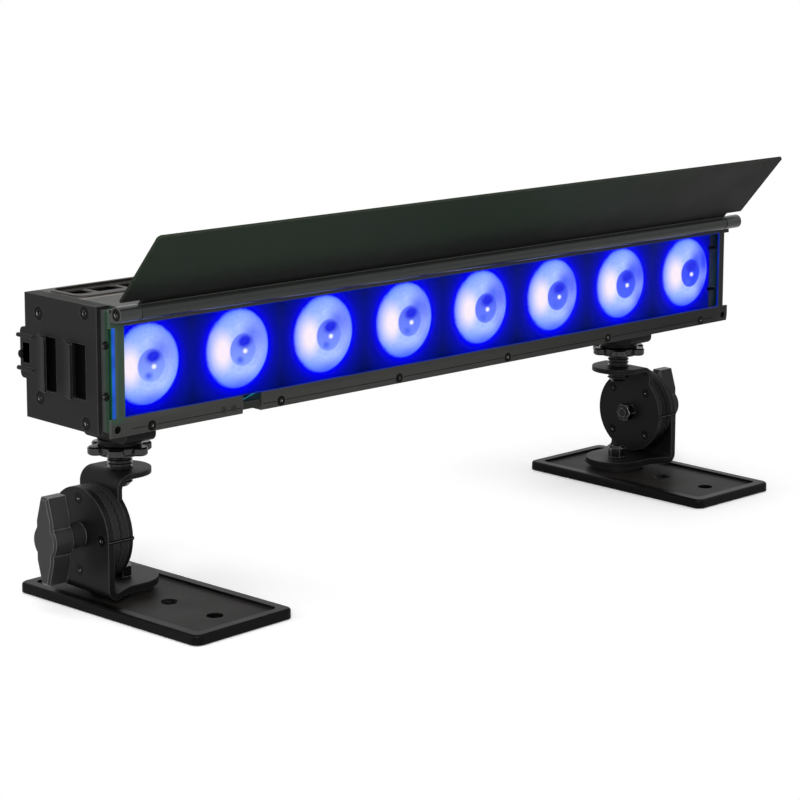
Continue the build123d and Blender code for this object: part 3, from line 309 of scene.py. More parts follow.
# Coats by material slot or by piece, each with what it changes of the plain one
coats = {
    "housing_coat": {"colour": screen(22, 22, 22), "roughness": 0.55, "grain": 2400.0, "specular": 0.15},
    "plate_coat": {"colour": screen(21, 21, 21), "roughness": 0.58, "grain": 2600.0, "specular": 0.13,
                   "edgeColour": screen(104, 104, 104), "edgeShare": 0.5, "edgeRadius": 0.7,
                   # Painted shade: the top of each end plate near black, where the gap under the top strip
                   # lies in shade
                   "zones": [{"axis": "Z", "none": 167.2, "full": 167.8, "colour": screen(8, 6, 4)}]},
    "frame_coat": {"colour": screen(40, 40, 38), "roughness": 0.46, "grain": 2400.0, "specular": 0.2,
                   "edgeColour": screen(96, 94, 88), "edgeShare": 0.5,
                   # Zones: painted light towards the left end, a green tint of painted lens light at the very
                   # end, a little lighter below the window, painted shade towards the right, and the tube
                   # darker under a clear coat
                   "zones": [{"axis": "X", "none": -120, "full": -235, "colour": screen(50, 50, 48)},
                             {"axis": "X", "none": -238, "full": -244, "colour": screen(38, 58, 47)},
                             {"axis": "Z", "none": 108.5, "full": 106.5, "colour": screen(45, 45, 43)},
                             {"axis": "X", "none": -60, "full": 230, "colour": screen(9, 9, 8)},
                             {"line": hinge, "none": 7.5, "full": 5.5, "colour": screen(34, 37, 35),
                              "roughness": 0.26, "coat": 0.35}]},
    "inner_coat": {"colour": screen(56, 60, 57), "roughness": 0.5, "grain": 2400.0, "specular": 0.2,
                   # Painted shade and painted green lens light on the frame's inside near the glass
                   "zones": [{"axis": "Y", "none": 9.6, "full": 6.2, "colour": screen(12, 46, 27)}]},
    "cover_coat": {"colour": screen(24, 21, 19), "roughness": 0.46, "grain": 2400.0, "dust": 0.12,
                   "specular": 0.25, "edgeColour": screen(112, 108, 100), "edgeShare": 0.6,
                   # Painted reflection: the front strip of the top lighter, as it catches the bright
                   # surroundings
                   "zones": [{"axis": "Y", "none": 38, "full": 36, "colour": screen(92, 88, 83)}]},
    "flap_coat": {"colour": screen(19, 31, 18), "roughness": 0.5, "grain": 2000.0, "specular": 0.1,
                  "edgeColour": screen(104, 104, 94), "edgeShare": 0.55,
                  # Zones: painted shade towards the right and towards the bottom, and the tube greyer under a
                  # clear coat
                  "zones": [{"axis": "X", "none": 20, "full": 230, "colour": screen(11, 12, 9)},
                            {"axis": "Z", "none": 190, "full": 174, "colour": screen(2, 3, 2)},
                            {"line": hinge, "none": 5.2, "full": 4.6, "colour": screen(30, 33, 31),
                             "roughness": 0.24, "coat": 0.35}]},
    "bracket_coat": {"colour": screen(14, 14, 14), "roughness": 0.42, "grain": 2200.0, "edgeShare": 0.75,
                     "edgeColour": screen(92, 92, 92), "specular": 0.1},
    "rosette_coat": {"colour": screen(18, 18, 18), "roughness": 0.46, "grain": 1500.0, "edgeShare": 0.4,
                     "edgeColour": screen(60, 60, 60), "bump": 0.5, "specular": 0.07,
                     # Painted light on the left rosettes' rims, painted shade on the right foot
                     "zones": [{"axis": "X", "none": -215, "full": -232, "colour": screen(34, 34, 34)},
                               {"axis": "X", "none": -100, "full": 100, "colour": screen(5, 5, 5)}]},
    "base_coat": {"colour": screen(27, 25, 24), "roughness": 0.5, "grain": 2000.0, "dust": 0.06,
                  "edgeColour": screen(70, 68, 66), "edgeShare": 0.35, "specular": 0.08},
    "base_rim_coat": {"colour": screen(5, 5, 5), "roughness": 0.34, "grain": 2000.0, "dust": 0.02,
                      "edgeColour": screen(80, 78, 76), "edgeShare": 0.3, "specular": 0.07},
    "black_screw": {"colour": screen(4, 4, 4), "roughness": 0.32, "grain": 3200.0, "bump": 0.12,
                    "edgeColour": screen(80, 80, 78), "edgeShare": 0.2, "edgeRadius": 0.25,
                    "specular": 0.06, "dust": 0.0},
    # Painted glint in each screw's drive
    "socket_painted_glint": {"colour": screen(104, 102, 99), "roughness": 0.3, "grain": 3000.0, "bump": 0.1,
                    "edgeColour": screen(235, 233, 228), "edgeShare": 0.9, "metallic": 1.0, "dust": 0.0},
    # Bright edge colours on nuts and studs are painted highlights
    "black_nut": {"colour": screen(5, 5, 5), "roughness": 0.2, "grain": 3200.0, "bump": 0.1, "edgeShare": 1.0,
                  "edgeColour": screen(205, 203, 200), "edgeRadius": 0.55, "specular": 0.2, "dust": 0.0,
                  "breakup": 0.7},
    "stud_steel": {"colour": screen(10, 10, 10), "roughness": 0.2, "grain": 3000.0, "bump": 0.1,
                   "edgeColour": screen(140, 138, 136), "edgeShare": 0.9, "edgeRadius": 0.3,
                   "specular": 0.6, "dust": 0.0},
    # Bright edges are painted highlights; painted shade on the right handle
    "knob_plastic": {"colour": screen(31, 31, 31), "roughness": 0.34, "grain": 900.0, "peel": 900.0,
                     "edgeColour": screen(150, 150, 152), "edgeShare": 0.7, "edgeRadius": 0.7,
                     "bump": 0.5, "specular": 0.2,
                     "zones": [{"axis": "X", "none": -100, "full": 100, "colour": screen(6, 6, 6)}]},
    "nut_plastic": {"colour": screen(5, 5, 5), "roughness": 0.22, "grain": 1600.0, "bump": 0.2,
                    "edgeColour": screen(110, 110, 110), "edgeShare": 0.7, "edgeRadius": 0.5,
                    "specular": 0.5, "dust": 0.03},
    "puck_rubber": {"colour": screen(7, 7, 7), "roughness": 0.5, "grain": 1800.0, "edgeShare": 0.2},
    "catch_coat": {"colour": screen(30, 33, 30), "roughness": 0.45, "grain": 2400.0, "specular": 0.1},
    # Black that stands in for shade in openings, gaps, holes and grooves: painted shade
    "painted_shade_black": {"colour": screen(3, 3, 3), "roughness": 0.85, "grain": 1800.0, "edgeShare": 0.0,
                     "specular": 0.05, "dust": 0.0},
    "mark_grey": {"colour": screen(52, 52, 52), "roughness": 0.5, "grain": 2400.0, "dust": 0.0},
    "glyph_dark": {"colour": screen(30, 30, 30), "roughness": 0.5, "grain": 2400.0, "dust": 0.0},
    "pin_brass": {"colour": screen(176, 146, 84), "roughness": 0.3, "grain": 3000.0, "bump": 0.1,
                  "edgeColour": screen(230, 208, 150), "metallic": 1.0, "dust": 0.0},
    # Dark green: a painted tint of the lens light on the seal
    "gasket_rubber": {"colour": screen(8, 34, 20), "roughness": 0.75, "grain": 1800.0, "edgeShare": 0.1},
    "panel_plastic": {"colour": screen(30, 30, 31), "roughness": 0.5, "grain": 3200.0, "bump": 0.2},
    "button_plastic": {"colour": screen(128, 128, 126), "roughness": 0.45, "grain": 2600.0, "bump": 0.25,
                       "edgeColour": screen(170, 170, 168)},
    "socket_plastic": {"colour": screen(24, 24, 26), "roughness": 0.4, "grain": 2000.0, "bump": 0.35},
}
# Pieces whose coat isn't that of their slot
nodeCoats = {
    "centre_nuts": "black_nut", "base_bolt_left": "black_nut", "base_bolt_right": "black_nut",
    "inner_frame": "inner_coat", "frame_catch": "catch_coat", "star_nut_left": "nut_plastic",
    "star_nut_right": "nut_plastic", "puck_left": "puck_rubber", "puck_right": "puck_rubber",
}
materials = {name: coatMaterial(name, look) for name, look in coats.items()}


# Lit and clear parts

glow = {
    "hot": screen(255, 240, 250),
    "body": screen(176, 200, 255),
    "deep": screen(20, 40, 250),
    "halo": screen(0, 0, 250),
    "night": screen(0, 3, 34),
}
lensNodes = sorted(node for node in frame["nodes"] if node.startswith("lens_") and node != "lens_mask")
lensCount = len(lensNodes)
firstLens, lastLens = middle(lensNodes[0]), middle(lensNodes[-1])
lensPitch = (lastLens.x - firstLens.x) / (lensCount - 1)
lensLook = {
    "radius": 21.9 * mm, "crown": 5.0 * mm, "crest": 0.45, "dimple": 1.7 * mm, "bend": 2.1,
    "steps": 96, "rings": 34, "ringHeight": 0.06 * mm, "ringTurns": 60,
    "wall": 1.5 * mm, "lip": 1.2 * mm, "flange": 1.3 * mm, "inset": 1 * mm,
    "backRadius": 7 * mm, "boreRadius": 5 * mm, "boreDepth": 4 * mm,
}


def spot(tree, x, z, patch):
    # Soft oval patch, 1 in its middle and 0 outside
    centreX, centreZ = patch["middle"]
    wideX, wideZ = patch["half"]
    dx = calc(tree, "DIVIDE", calc(tree, "SUBTRACT", x, centreX), wideX)
    dz = calc(tree, "DIVIDE", calc(tree, "SUBTRACT", z, centreZ), wideZ)
    return remap(tree, lengthOf(tree, dx, dz), 1.0, 0.0, 0.0, 1.0, "SMOOTHSTEP")


def paintPatch(tree, x, z, patch, turn, colour):
    strength = patch["strength"] + patch.get("turned", 0.0) * turn
    share = calc(tree, "MULTIPLY", spot(tree, x, z, patch), strength)
    return blendColour(tree, share, colour, patch["colour"])


def glowShader(tree, shader, colour, look):
    tree.links.new(colour, shader.inputs["Emission Color"])
    shader.inputs["Emission Strength"].default_value = 1.0
    shader.inputs["Base Color"].default_value = (0.0, 0.0, 0.01, 1.0)
    shader.inputs["Roughness"].default_value = look["roughness"]
    shader.inputs["Specular IOR Level"].default_value = look["specular"]


# Painted light and shade of one optic. Places are shares of its radius; "turned" is what a patch gains up to
# the right lens.
lensPaint = {
    "roughness": 0.12, "specular": 0.1, "wobbleScale": 260.0, "wobbleDetail": 3.0, "wobble": 0.05,
    "rings": [(0.0, glow["body"]), (0.62, glow["body"]), (0.88, screen(140, 172, 255)),
              (0.955, screen(104, 140, 255)), (0.985, screen(24, 48, 255)), (1.0, glow["halo"])],
    "streakScale": 520.0, "streakDetail": 5.0, "streakRoughness": 0.65, "streak": (0.42, 0.68),
    "streakShare": 0.38, "streakColour": screen(120, 154, 255),
    "cupEdge": (0.44, 0.38), "cupLeft": screen(150, 178, 255), "cupRight": screen(30, 60, 250),
    "cupShare": 0.15, "cupTurned": 0.8,
    "shade": (-0.3, 0.3), "shadeShare": 0.45, "shadeColour": screen(40, 60, 240),
}
lensPatches = {
    "lowEdge": {"middle": (0.08, -0.98), "half": (0.95, 0.5), "strength": 0.75,
                "colour": screen(60, 90, 255)},
    "rightShade": {"middle": (0.62, 0.3), "half": (0.75, 0.9), "strength": 0.35, "turned": 0.6,
                   "colour": glow["deep"]},
    "lowerRight": {"middle": (0.6, -0.5), "half": (0.55, 0.5), "strength": 0.0, "turned": 0.75,
                   "colour": glow["halo"]},
    "hotSide": {"middle": (-0.62, 0.02), "half": (0.42, 0.72), "strength": 1.25, "colour": glow["hot"]},
    "arc": {"middle": (0.24, 0.36), "half": (0.5, 0.44), "strength": 0.6, "turned": 0.4,
            "colour": screen(64, 92, 248)},
}
# Painted shade and light in the middle dimple
cupPatches = {
    "pit": {"middle": (0.09, 0.2), "half": (0.33, 0.25), "strength": 1.6, "colour": screen(0, 0, 225)},
    "dent": {"middle": (-0.06, -0.26), "half": (0.2, 0.14), "strength": 1.0, "colour": screen(70, 100, 245)},
}
# Painted highlight in the dimple
spark = {"middle": (0.12, -0.06), "half": (0.1, 0.09), "strength": 1.5, "colour": screen(245, 245, 255)}


def lensMaterial(name, turn):
    # Moulded optic lit from behind, its glow painted with patches of light and shade; turn goes from 0 at the
    # left lens to 1 at the right one
    look = lensPaint
    material, tree, shader = newMaterial(name)
    place = objectPlace(tree)
    axes = axesOf(tree, place)
    x = calc(tree, "DIVIDE", axes["X"], lensLook["radius"])
    z = calc(tree, "DIVIDE", axes["Z"], lensLook["radius"])
    r = lengthOf(tree, x, z)
    noise = calc(tree, "SUBTRACT", noiseValue(tree, place, look["wobbleScale"], look["wobbleDetail"]), 0.5)
    colour = ramp(tree, calc(tree, "ADD", r, calc(tree, "MULTIPLY", noise, look["wobble"])), look["rings"])
    mottle = noiseValue(tree, place, look["streakScale"], look["streakDetail"], look["streakRoughness"])
    streak = remap(tree, mottle, *look["streak"], 0.0, look["streakShare"])
    colour = blendColour(tree, streak, colour, look["streakColour"])
    for patch in lensPatches.values():
        colour = paintPatch(tree, x, z, patch, turn, colour)
    cup = blendColour(tree, turn * look["cupTurned"] + look["cupShare"], look["cupLeft"], look["cupRight"])
    for patch in cupPatches.values():
        cup = paintPatch(tree, x, z, patch, turn, cup)
    shade = remap(tree, z, *look["shade"], 0.0, look["shadeShare"])
    cup = paintPatch(tree, x, z, spark, turn, blendColour(tree, shade, cup, look["shadeColour"]))
    inside = remap(tree, r, *look["cupEdge"], 0.0, 1.0, "SMOOTHSTEP")
    glowShader(tree, shader, blendColour(tree, inside, colour, cup), look)
    return material


# Painted light round a lens, by distance from its edge in shares of its radius
maskPaint = {
    "roughness": 0.6, "specular": 0.02,
    "cloudScale": 22.0, "cloudDetail": 2.0, "cloud": (0.35, 0.65), "dimmest": 0.85,
    "halo": [(0.0, glow["halo"]), (0.08, screen(0, 0, 238)), (0.24, screen(0, 5, 176)),
             (0.42, screen(0, 12, 144)), (0.7, screen(0, 10, 100)), (1.0, glow["night"])],
}


def maskMaterial(name):
    # Dark plate made to glow with painted blue light round each lens
    look = maskPaint
    material, tree, shader = newMaterial(name)
    place = objectPlace(tree)
    axes = axesOf(tree, place)
    steps = calc(tree, "DIVIDE", calc(tree, "SUBTRACT", axes["X"], firstLens.x), lensPitch)
    nearest = calc(tree, "MINIMUM", calc(tree, "MAXIMUM", calc(tree, "ROUND", steps), 0.0), lensCount - 1)
    x = calc(tree, "MULTIPLY", calc(tree, "SUBTRACT", steps, nearest), lensPitch)
    r = lengthOf(tree, x, calc(tree, "SUBTRACT", axes["Z"], firstLens.z))
    share = calc(tree, "DIVIDE", calc(tree, "SUBTRACT", r, lensLook["radius"]), lensLook["radius"])
    cloud = noiseValue(tree, place, look["cloudScale"], look["cloudDetail"])
    dim = remap(tree, cloud, *look["cloud"], look["dimmest"], 1.0)
    grey = addNode(tree, "ShaderNodeCombineColor", {0: dim, 1: dim, 2: dim}).outputs[0]
    glowShader(tree, shader, blendColour(tree, 1.0, ramp(tree, share, look["halo"]), grey, "MULTIPLY"), look)
    return material


glowLook = {"roughness": 0.5, "specular": 0.05,
            "cloudScale": 90.0, "cloudDetail": 2.0, "cloud": (0.3, 0.7), "dim": 0.6}
# Glowing colours: the emitters' own light, and painted light where lens light falls on the glass ends, window
# rims, seal and catch
glowColours = {
    "emitter": screen(200, 210, 255), "glass_edge_blue": screen(38, 96, 214), "rim_blue": screen(14, 40, 150),
    "rim_green": screen(16, 92, 52), "catch_teal": screen(36, 150, 170), "catch_green": screen(14, 36, 27),
}


def glowMaterial(name, colour):
    # Lit surface with a slow unevenness in its light
    look = glowLook
    material, tree, shader = newMaterial(name)
    cloud = noiseValue(tree, objectPlace(tree), look["cloudScale"], look["cloudDetail"])
    share = remap(tree, cloud, *look["cloud"], 0.0, 1.0)
    glowShader(tree, shader, blendColour(tree, share, scaled(colour, look["dim"]), colour), look)
    return material


glassLook = {"tint": (0.97, 0.98, 1.0, 1.0), "ior": 1.06, "smearScale": 35.0, "smearDetail": 5.0,
             "smear": (0.4, 0.75), "roughest": 0.04}


def glassMaterial(name):
    look = glassLook
    material, tree, shader = newMaterial(name)
    shader.inputs["Base Color"].default_value = look["tint"]
    shader.inputs["Transmission Weight"].default_value = 1.0
    shader.inputs["IOR"].default_value = look["ior"]
    smear = noiseValue(tree, objectPlace(tree), look["smearScale"], look["smearDetail"])
    tree.links.new(remap(tree, smear, *look["smear"], 0.0, look["roughest"]), shader.inputs["Roughness"])
    return material


boardLook = {"randomness": 0.35, "run": (0.42, 0.46), "bump": 0.4, "bumpDepth": 0.05 * mm, "roughness": 0.35}
boards = {
    "board_white": {"mask": screen(214, 214, 208), "copper": screen(196, 197, 190), "scale": 300.0},
    "board_green": {"mask": screen(14, 64, 34), "copper": screen(26, 92, 50), "scale": 260.0},
}


def boardMaterial(name, colours):
    # Circuit board: solder mask over a pattern of copper runs
    look = boardLook
    material, tree, shader = newMaterial(name)
    pattern = {"Vector": objectPlace(tree), "Scale": colours["scale"], "Randomness": look["randomness"]}
    cells = addNode(tree, "ShaderNodeTexVoronoi", pattern, distance="CHEBYCHEV", feature="F1")
    lines = remap(tree, cells.outputs["Distance"], *look["run"], 0.0, 1.0)
    tree.links.new(blendColour(tree, lines, colours["mask"], colours["copper"]), shader.inputs["Base Color"])
    relief = {"Strength": look["bump"], "Distance": look["bumpDepth"], "Height": lines}
    tree.links.new(addNode(tree, "ShaderNodeBump", relief).outputs[0], shader.inputs["Normal"])
    shader.inputs["Roughness"].default_value = look["roughness"]
    return material


displayLook = {"dark": screen(8, 14, 20), "light": screen(16, 24, 34), "roughness": (0.08, 0.2),
               "smearScale": 120.0, "smearDetail": 4.0, "smear": (0.35, 0.7)}


def displayMaterial(name):
    # Dark display glass with a faint bluish depth
    look = displayLook
    material, tree, shader = newMaterial(name)
    smear = noiseValue(tree, objectPlace(tree), look["smearScale"], look["smearDetail"])
    share = remap(tree, smear, *look["smear"], 0.0, 1.0)
    tree.links.new(blendColour(tree, share, look["dark"], look["light"]), shader.inputs["Base Color"])
    tree.links.new(remap(tree, smear, *look["smear"], *look["roughness"]), shader.inputs["Roughness"])
    return material


materials["clear_glass"] = glassMaterial("clear_glass")
materials["mask_navy"] = maskMaterial("mask_navy")
materials["display_glass"] = displayMaterial("display_glass")
for name, colours in boards.items():
    materials[name] = boardMaterial(name, colours)
for name, colour in glowColours.items():
    materials[name] = glowMaterial(name, colour)
for i, node in enumerate(lensNodes):
    materials[f"{node}_lit"] = lensMaterial(f"{node}_lit", i / (lensCount - 1))
print("materials ready:", len(materials))


# Meshes

def addObject(name, data):
    thing = bpy.data.objects.new(name, data)
    bpy.context.scene.collection.objects.link(thing)
    return thing


def newPiece(name, mesh, finish, body, place=(0, 0, 0)):
    mesh.materials.append(materials[finish])
    piece = addObject(name, mesh)
    piece.location = place
    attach(piece, body)
    return piece


def meshFrom(name, bm, smooth=True):
    bmesh.ops.recalc_face_normals(bm, faces=bm.faces)
    for face in bm.faces:
        face.smooth = smooth
    mesh = bpy.data.meshes.new(name)
    bm.to_mesh(mesh)
    bm.free()
    return mesh


# Rounding of the edges, in mm
softening = {
    "default": 0.3, "housing": 0.4, "vent_cover": 0.25, "front_frame": 0.28, "inner_frame": 0.2,
    "end_plate_left": 0.35, "end_plate_right": 0.35, "flap": 0.25, "rear_panel": 0.25, "display": 0.15,
    "upper_brackets": 0.5, "lower_bracket_left": 0.5, "lower_bracket_right": 0.5, "clamp_blocks": 0.5,
    "inner_rosettes": 0.2, "outer_rosette_left": 0.2, "outer_rosette_right": 0.2, "base_plate_left": 0.45,
    "base_plate_right": 0.45, "star_nut_left": 0.4, "star_nut_right": 0.4, "t_handle_left": 0.6,
    "t_handle_right": 0.6, "studs": 0.05, "glass_gasket": 0.1, "driver_board": 0.15, "led_board": 0.1,
    "led_emitters": 0.1, "end_plate_screws": 0.15, "hinge_screws": 0.18, "rail_screws": 0.12,
    "side_screws": 0.15, "cover_screws": 0.12, "inner_rosette_screws": 0.15,
    "outer_screws_left": 0.15, "outer_screws_right": 0.15,
    "frame_catch": 0.15, "lens_mask": 0.1, "link_studs": 0.15, "glass": 0.1,
}
creaseAngle = math.radians(32)
flatAngle = math.radians(0.6)
weldReach = 0.002 * mm
roundingSegments = 2


sunkTop = {"z": 4.1, "reach": 0.3, "facing": 0.9}  # height over the floor and leeway in mm


def paintRim(mesh):
    # Everything but the sunk top of a base plate gets the darker, glossier finish
    mesh.materials.append(materials["base_rim_coat"])
    for face in mesh.polygons:
        level = abs(face.center.z - sunkTop["z"] * mm) < sunkTop["reach"] * mm
        face.material_index = 0 if level and face.normal.z > sunkTop["facing"] else 1


# Axis of each kind of screw, and how far its drive reaches from that axis in mm
sockets = {
    "end_plate_screws": ("X", 1.7), "hinge_screws": ("X", 1.5), "side_screws": ("X", 1.0),
    "outer_screws_left": ("X", 1.3), "outer_screws_right": ("X", 1.3), "inner_rosette_screws": ("X", 1.3),
    "rail_screws": ("Y", 1.2), "cover_screws": ("Z", 1.1),
}
wallFacing = 0.8  # a face that looks less than this along the screw is a wall


def paintSockets(mesh, axis, reach):
    # Drive of each screw painted as bright metal: a painted glint
    mesh.materials.append(materials["socket_painted_glint"])
    bm = bmesh.new()
    bm.from_mesh(mesh)
    skip = "XYZ".index(axis)
    waiting = set(bm.faces)
    while waiting:
        island = [waiting.pop()]
        for face in island:
            near = {other for edge in face.edges for other in edge.link_faces if other in waiting}
            waiting -= near
            island += near
        points = [v.co for face in island for v in face.verts]
        centre = [(min(p[i] for p in points) + max(p[i] for p in points)) / 2 for i in range(3)]
        for face in island:
            away = face.calc_center_median() - Vector(centre)
            away[skip] = 0.0
            wall = abs(face.normal[skip]) < wallFacing
            face.material_index = 1 if wall and away.length < reach * mm else 0
    bm.to_mesh(mesh)
    bm.free()


def softenNode(node):
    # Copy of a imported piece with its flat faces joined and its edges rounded
    bm = bmesh.new()
    bm.from_mesh(frame["nodes"][node].data)
    bmesh.ops.remove_doubles(bm, verts=bm.verts, dist=weldReach)
    bmesh.ops.dissolve_limit(bm, angle_limit=flatAngle, verts=bm.verts, edges=bm.edges)
    mesh = meshFrom(f"{node}_soft", bm)
    slot = recordSlots[node]
    piece = newPiece(f"{node}_finished", mesh, nodeCoats.get(node, slot), bodyOfNode[node])
    if node in basePlates:
        paintRim(mesh)
    if node in sockets:
        paintSockets(mesh, *sockets[node])
    rounding = piece.modifiers.new("rounding", "BEVEL")
    rounding.width = softening.get(node, softening["default"]) * mm
    rounding.segments = roundingSegments
    rounding.limit_method = "ANGLE"
    rounding.angle_limit = creaseAngle
    rounding.use_clamp_overlap = True
    rounding.miter_outer = "MITER_ARC"
    weigh = piece.modifiers.new("weighing", "WEIGHTED_NORMAL")
    weigh.keep_sharp = True
    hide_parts(node)


roundedNodes = [node for node in frame["nodes"] if node not in lensNodes]
for node in roundedNodes:
    softenNode(node)
print("pieces rounded:", len(roundedNodes))


# Lenses

def lensDepth(share):
    # How far behind the front plane of the crest a point lies, at this share of the radius
    look = lensLook
    if share < look["crest"]:
        return look["dimple"] * (1 - (share / look["crest"]) ** 2)
    slope = (share - look["crest"]) / (1 - look["crest"])
    ripple = look["ringHeight"] * math.sin(share * look["ringTurns"]) * slope
    return look["crown"] * slope ** look["bend"] + ripple


onAxis = 1e-9  # a smaller radius counts as a point on the axis


def revolve(profile, steps):
    # Turned mesh about Y from (radius, depth) pairs that start and end on the axis
    bm = bmesh.new()
    rings = []
    for radius, depth in profile:
        if radius < onAxis:
            rings.append([bm.verts.new((0, depth, 0))] * steps)
        else:
            turns = [i * 2 * math.pi / steps for i in range(steps)]
            rings.append([bm.verts.new((radius * math.cos(a), depth, radius * math.sin(a))) for a in turns])
    for one, two in zip(rings, rings[1:]):
        for i in range(steps):
            corners = [one[i], one[(i + 1) % steps], two[(i + 1) % steps], two[i]]
            corners = [v for k, v in enumerate(corners) if v not in corners[:k]]
            if len(corners) > 2:
                bm.faces.new(corners)
    return bm


def makeLens(node):
    # Crown with a dimple, then a flange behind it and a collar with a bore at the back
    look = lensLook
    radius, count = look["radius"], look["rings"]
    low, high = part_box(node)
    centre = middle(node)
    depth = high.y - low.y
    seat = look["crown"] + look["wall"]
    back = seat + look["flange"]
    profile = [(radius * i / count, lensDepth(i / count)) for i in range(count + 1)]
    profile += [(radius, seat), (radius + look["lip"], seat), (radius + look["lip"], back),
                (radius - look["inset"], back), (look["backRadius"], depth), (look["boreRadius"], depth),
                (look["boreRadius"], depth - look["boreDepth"]), (0, depth - look["boreDepth"])]
    mesh = meshFrom(f"{node}_optic", revolve(profile, look["steps"]))
    mesh.set_sharp_from_angle(angle=creaseAngle)
    mesh.transform(Matrix.Translation((0, low.y - centre.y, 0)))
    piece = newPiece(f"{node}_optic", mesh, f"{node}_lit", bodyOfNode[node], centre)
    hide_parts(node)


for node in lensNodes:
    makeLens(node)
print("lenses made:", lensCount)


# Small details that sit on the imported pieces

def prism(name, corners, axis, low, high, rounding=0.0):
    # Flat outline in mm, extruded along an axis between two places; corners are on the other two axes
    order = {"X": (1, 2), "Y": (0, 2), "Z": (0, 1)}[axis]
    along = "XYZ".index(axis)
    bm = bmesh.new()
    rings = []
    for place in (low, high):
        ring = []
        for pair in corners:
            corner = [0.0, 0.0, 0.0]
            corner[along] = place
            corner[order[0]], corner[order[1]] = pair
            ring.append(bm.verts.new(at(*corner)))
        rings.append(ring)
    count = len(corners)
    bm.faces.new(rings[0])
    bm.faces.new(rings[1][::-1])
    for i in range(count):
        j = (i + 1) % count
        bm.faces.new([rings[1][i], rings[1][j], rings[0][j], rings[0][i]])
    if rounding:
        bmesh.ops.bevel(bm, geom=bm.edges[:], offset=rounding * mm, segments=roundingSegments, affect="EDGES")
    return meshFrom(name, bm, False)


def box(low, high):
    return [(low[0], low[1]), (high[0], low[1]), (high[0], high[1]), (low[0], high[1])]


directions = {"Y": (0, 1, 0), "-Y": (0, -1, 0), "X": (1, 0, 0), "-X": (-1, 0, 0)}


def turnedPiece(name, profile, axis, place, steps):
    # Profile of (radius, distance) in mm, turned and pointed along an axis such as "-Y"
    bm = revolve([(radius * mm, far * mm) for radius, far in profile], steps)
    mesh = meshFrom(name, bm)
    mesh.set_sharp_from_angle(angle=creaseAngle)
    turn = Vector(directions["Y"]).rotation_difference(Vector(directions[axis])).to_matrix().to_4x4()
    mesh.transform(Matrix.Translation(at(*place)) @ turn)
    return mesh


# Openings in the end plates that get black backing as painted shade, in mm
openings = {
    "slotZ": (117.1, 146.4), "frontSlotY": (21.1, 33.4), "rearSlotY": (47.1, 59.4),
    "lugY": (71.1, 76.9), "lugZ": (129.6, 140.4), "outer": 247.6, "inner": 247.1,
}


def backOpenings(side, sign):
    # Black backing as painted shade inside the louvre slots and the lug window
    look = openings
    spans = {
        "front_slot": (look["frontSlotY"], look["slotZ"]),
        "rear_slot": (look["rearSlotY"], look["slotZ"]),
        "lug_window": (look["lugY"], look["lugZ"]),
    }
    for place, (spanY, spanZ) in spans.items():
        name = f"{place}_backing_{side}"
        corners = box((spanY[0], spanZ[0]), (spanY[1], spanZ[1]))
        mesh = prism(name, corners, "X", sign * look["outer"], sign * look["inner"])
        newPiece(name, mesh, "painted_shade_black", "head")


glassGlow = {
    "end": 245.04, "thickness": 0.5, "z": (105.2, 162.3),
    "bands": {"glass_glow": ((1.9, 4.4), "glass_edge_blue"), "seal_glow": ((4.5, 5.4), "rim_green")},
}


def lightGlassEdge(side, sign):
    # Light that leaves the glass through its end face, and its glow on the seal
    look = glassGlow
    for place, (span, finish) in look["bands"].items():
        name = f"{place}_{side}"
        corners = box((span[0], look["z"][0]), (span[1], look["z"][1]))
        mesh = prism(name, corners, "X", sign * look["end"], sign * (look["end"] + look["thickness"]))
        newPiece(name, mesh, finish, "head")


windowRim = {"x": 241.0, "low": 110.1, "high": 158.6, "y": (0.12, 1.4),
             "side": 0.45, "top": 0.35, "bottom": 0.3}


def lightWindowRim():
    # Thin lit lines where the lens light strikes the window's cut edge
    look = windowRim
    x, low, high = look["x"], look["low"], look["high"]
    strips = {
        "rim_line_left": (box((-x, low), (-x + look["side"], high)), "rim_green"),
        "rim_line_right": (box((x - look["side"], low), (x, high)), "rim_blue"),
        "rim_line_top": (box((-x, high - look["top"]), (x, high)), "rim_blue"),
        "rim_line_bottom": (box((-x, low), (x, low + look["bottom"])), "rim_blue"),
    }
    for name, (corners, finish) in strips.items():
        newPiece(name, prism(name, corners, "Y", *look["y"]), finish, "head")


catchShade = {"left": -160.9, "right": -148.1, "low": 106.35, "high": 110.6, "turnZ": 107.7, "turnX": -150.4,
              "y": (1.43, 1.48), "lineY": (1.41, 1.44), "line": 0.56}


def shadeCatch():
    # Gap above the catch: painted shade above and painted green light below a painted bright line of light
    look = catchShade
    left, right, low, high = look["left"], look["right"], look["low"], look["high"]
    start, end = (left, look["turnZ"]), (look["turnX"], high)
    pieces = {
        "catch_gap_dark": ([start, end, (left, high)], look["y"], "painted_shade_black"),
        "catch_gap_green": ([(left, low), (right, low), (right, high), end, start], look["y"], "catch_green"),
        "catch_gap_line": ([start, end, (end[0], end[1] - look["line"]), (start[0], start[1] - look["line"])],
                           look["lineY"], "catch_teal"),
    }
    for name, (corners, span, finish) in pieces.items():
        newPiece(name, prism(name, corners, "Y", *span), finish, "head")


railFold = {"z": (103.3, 103.6), "y": (-0.03, 0.1), "ends": (-236.0, 236.0), "catch": (-162.0, -147.0),
            "screws": 6, "screwPitch": 89.3, "gap": 3.6}


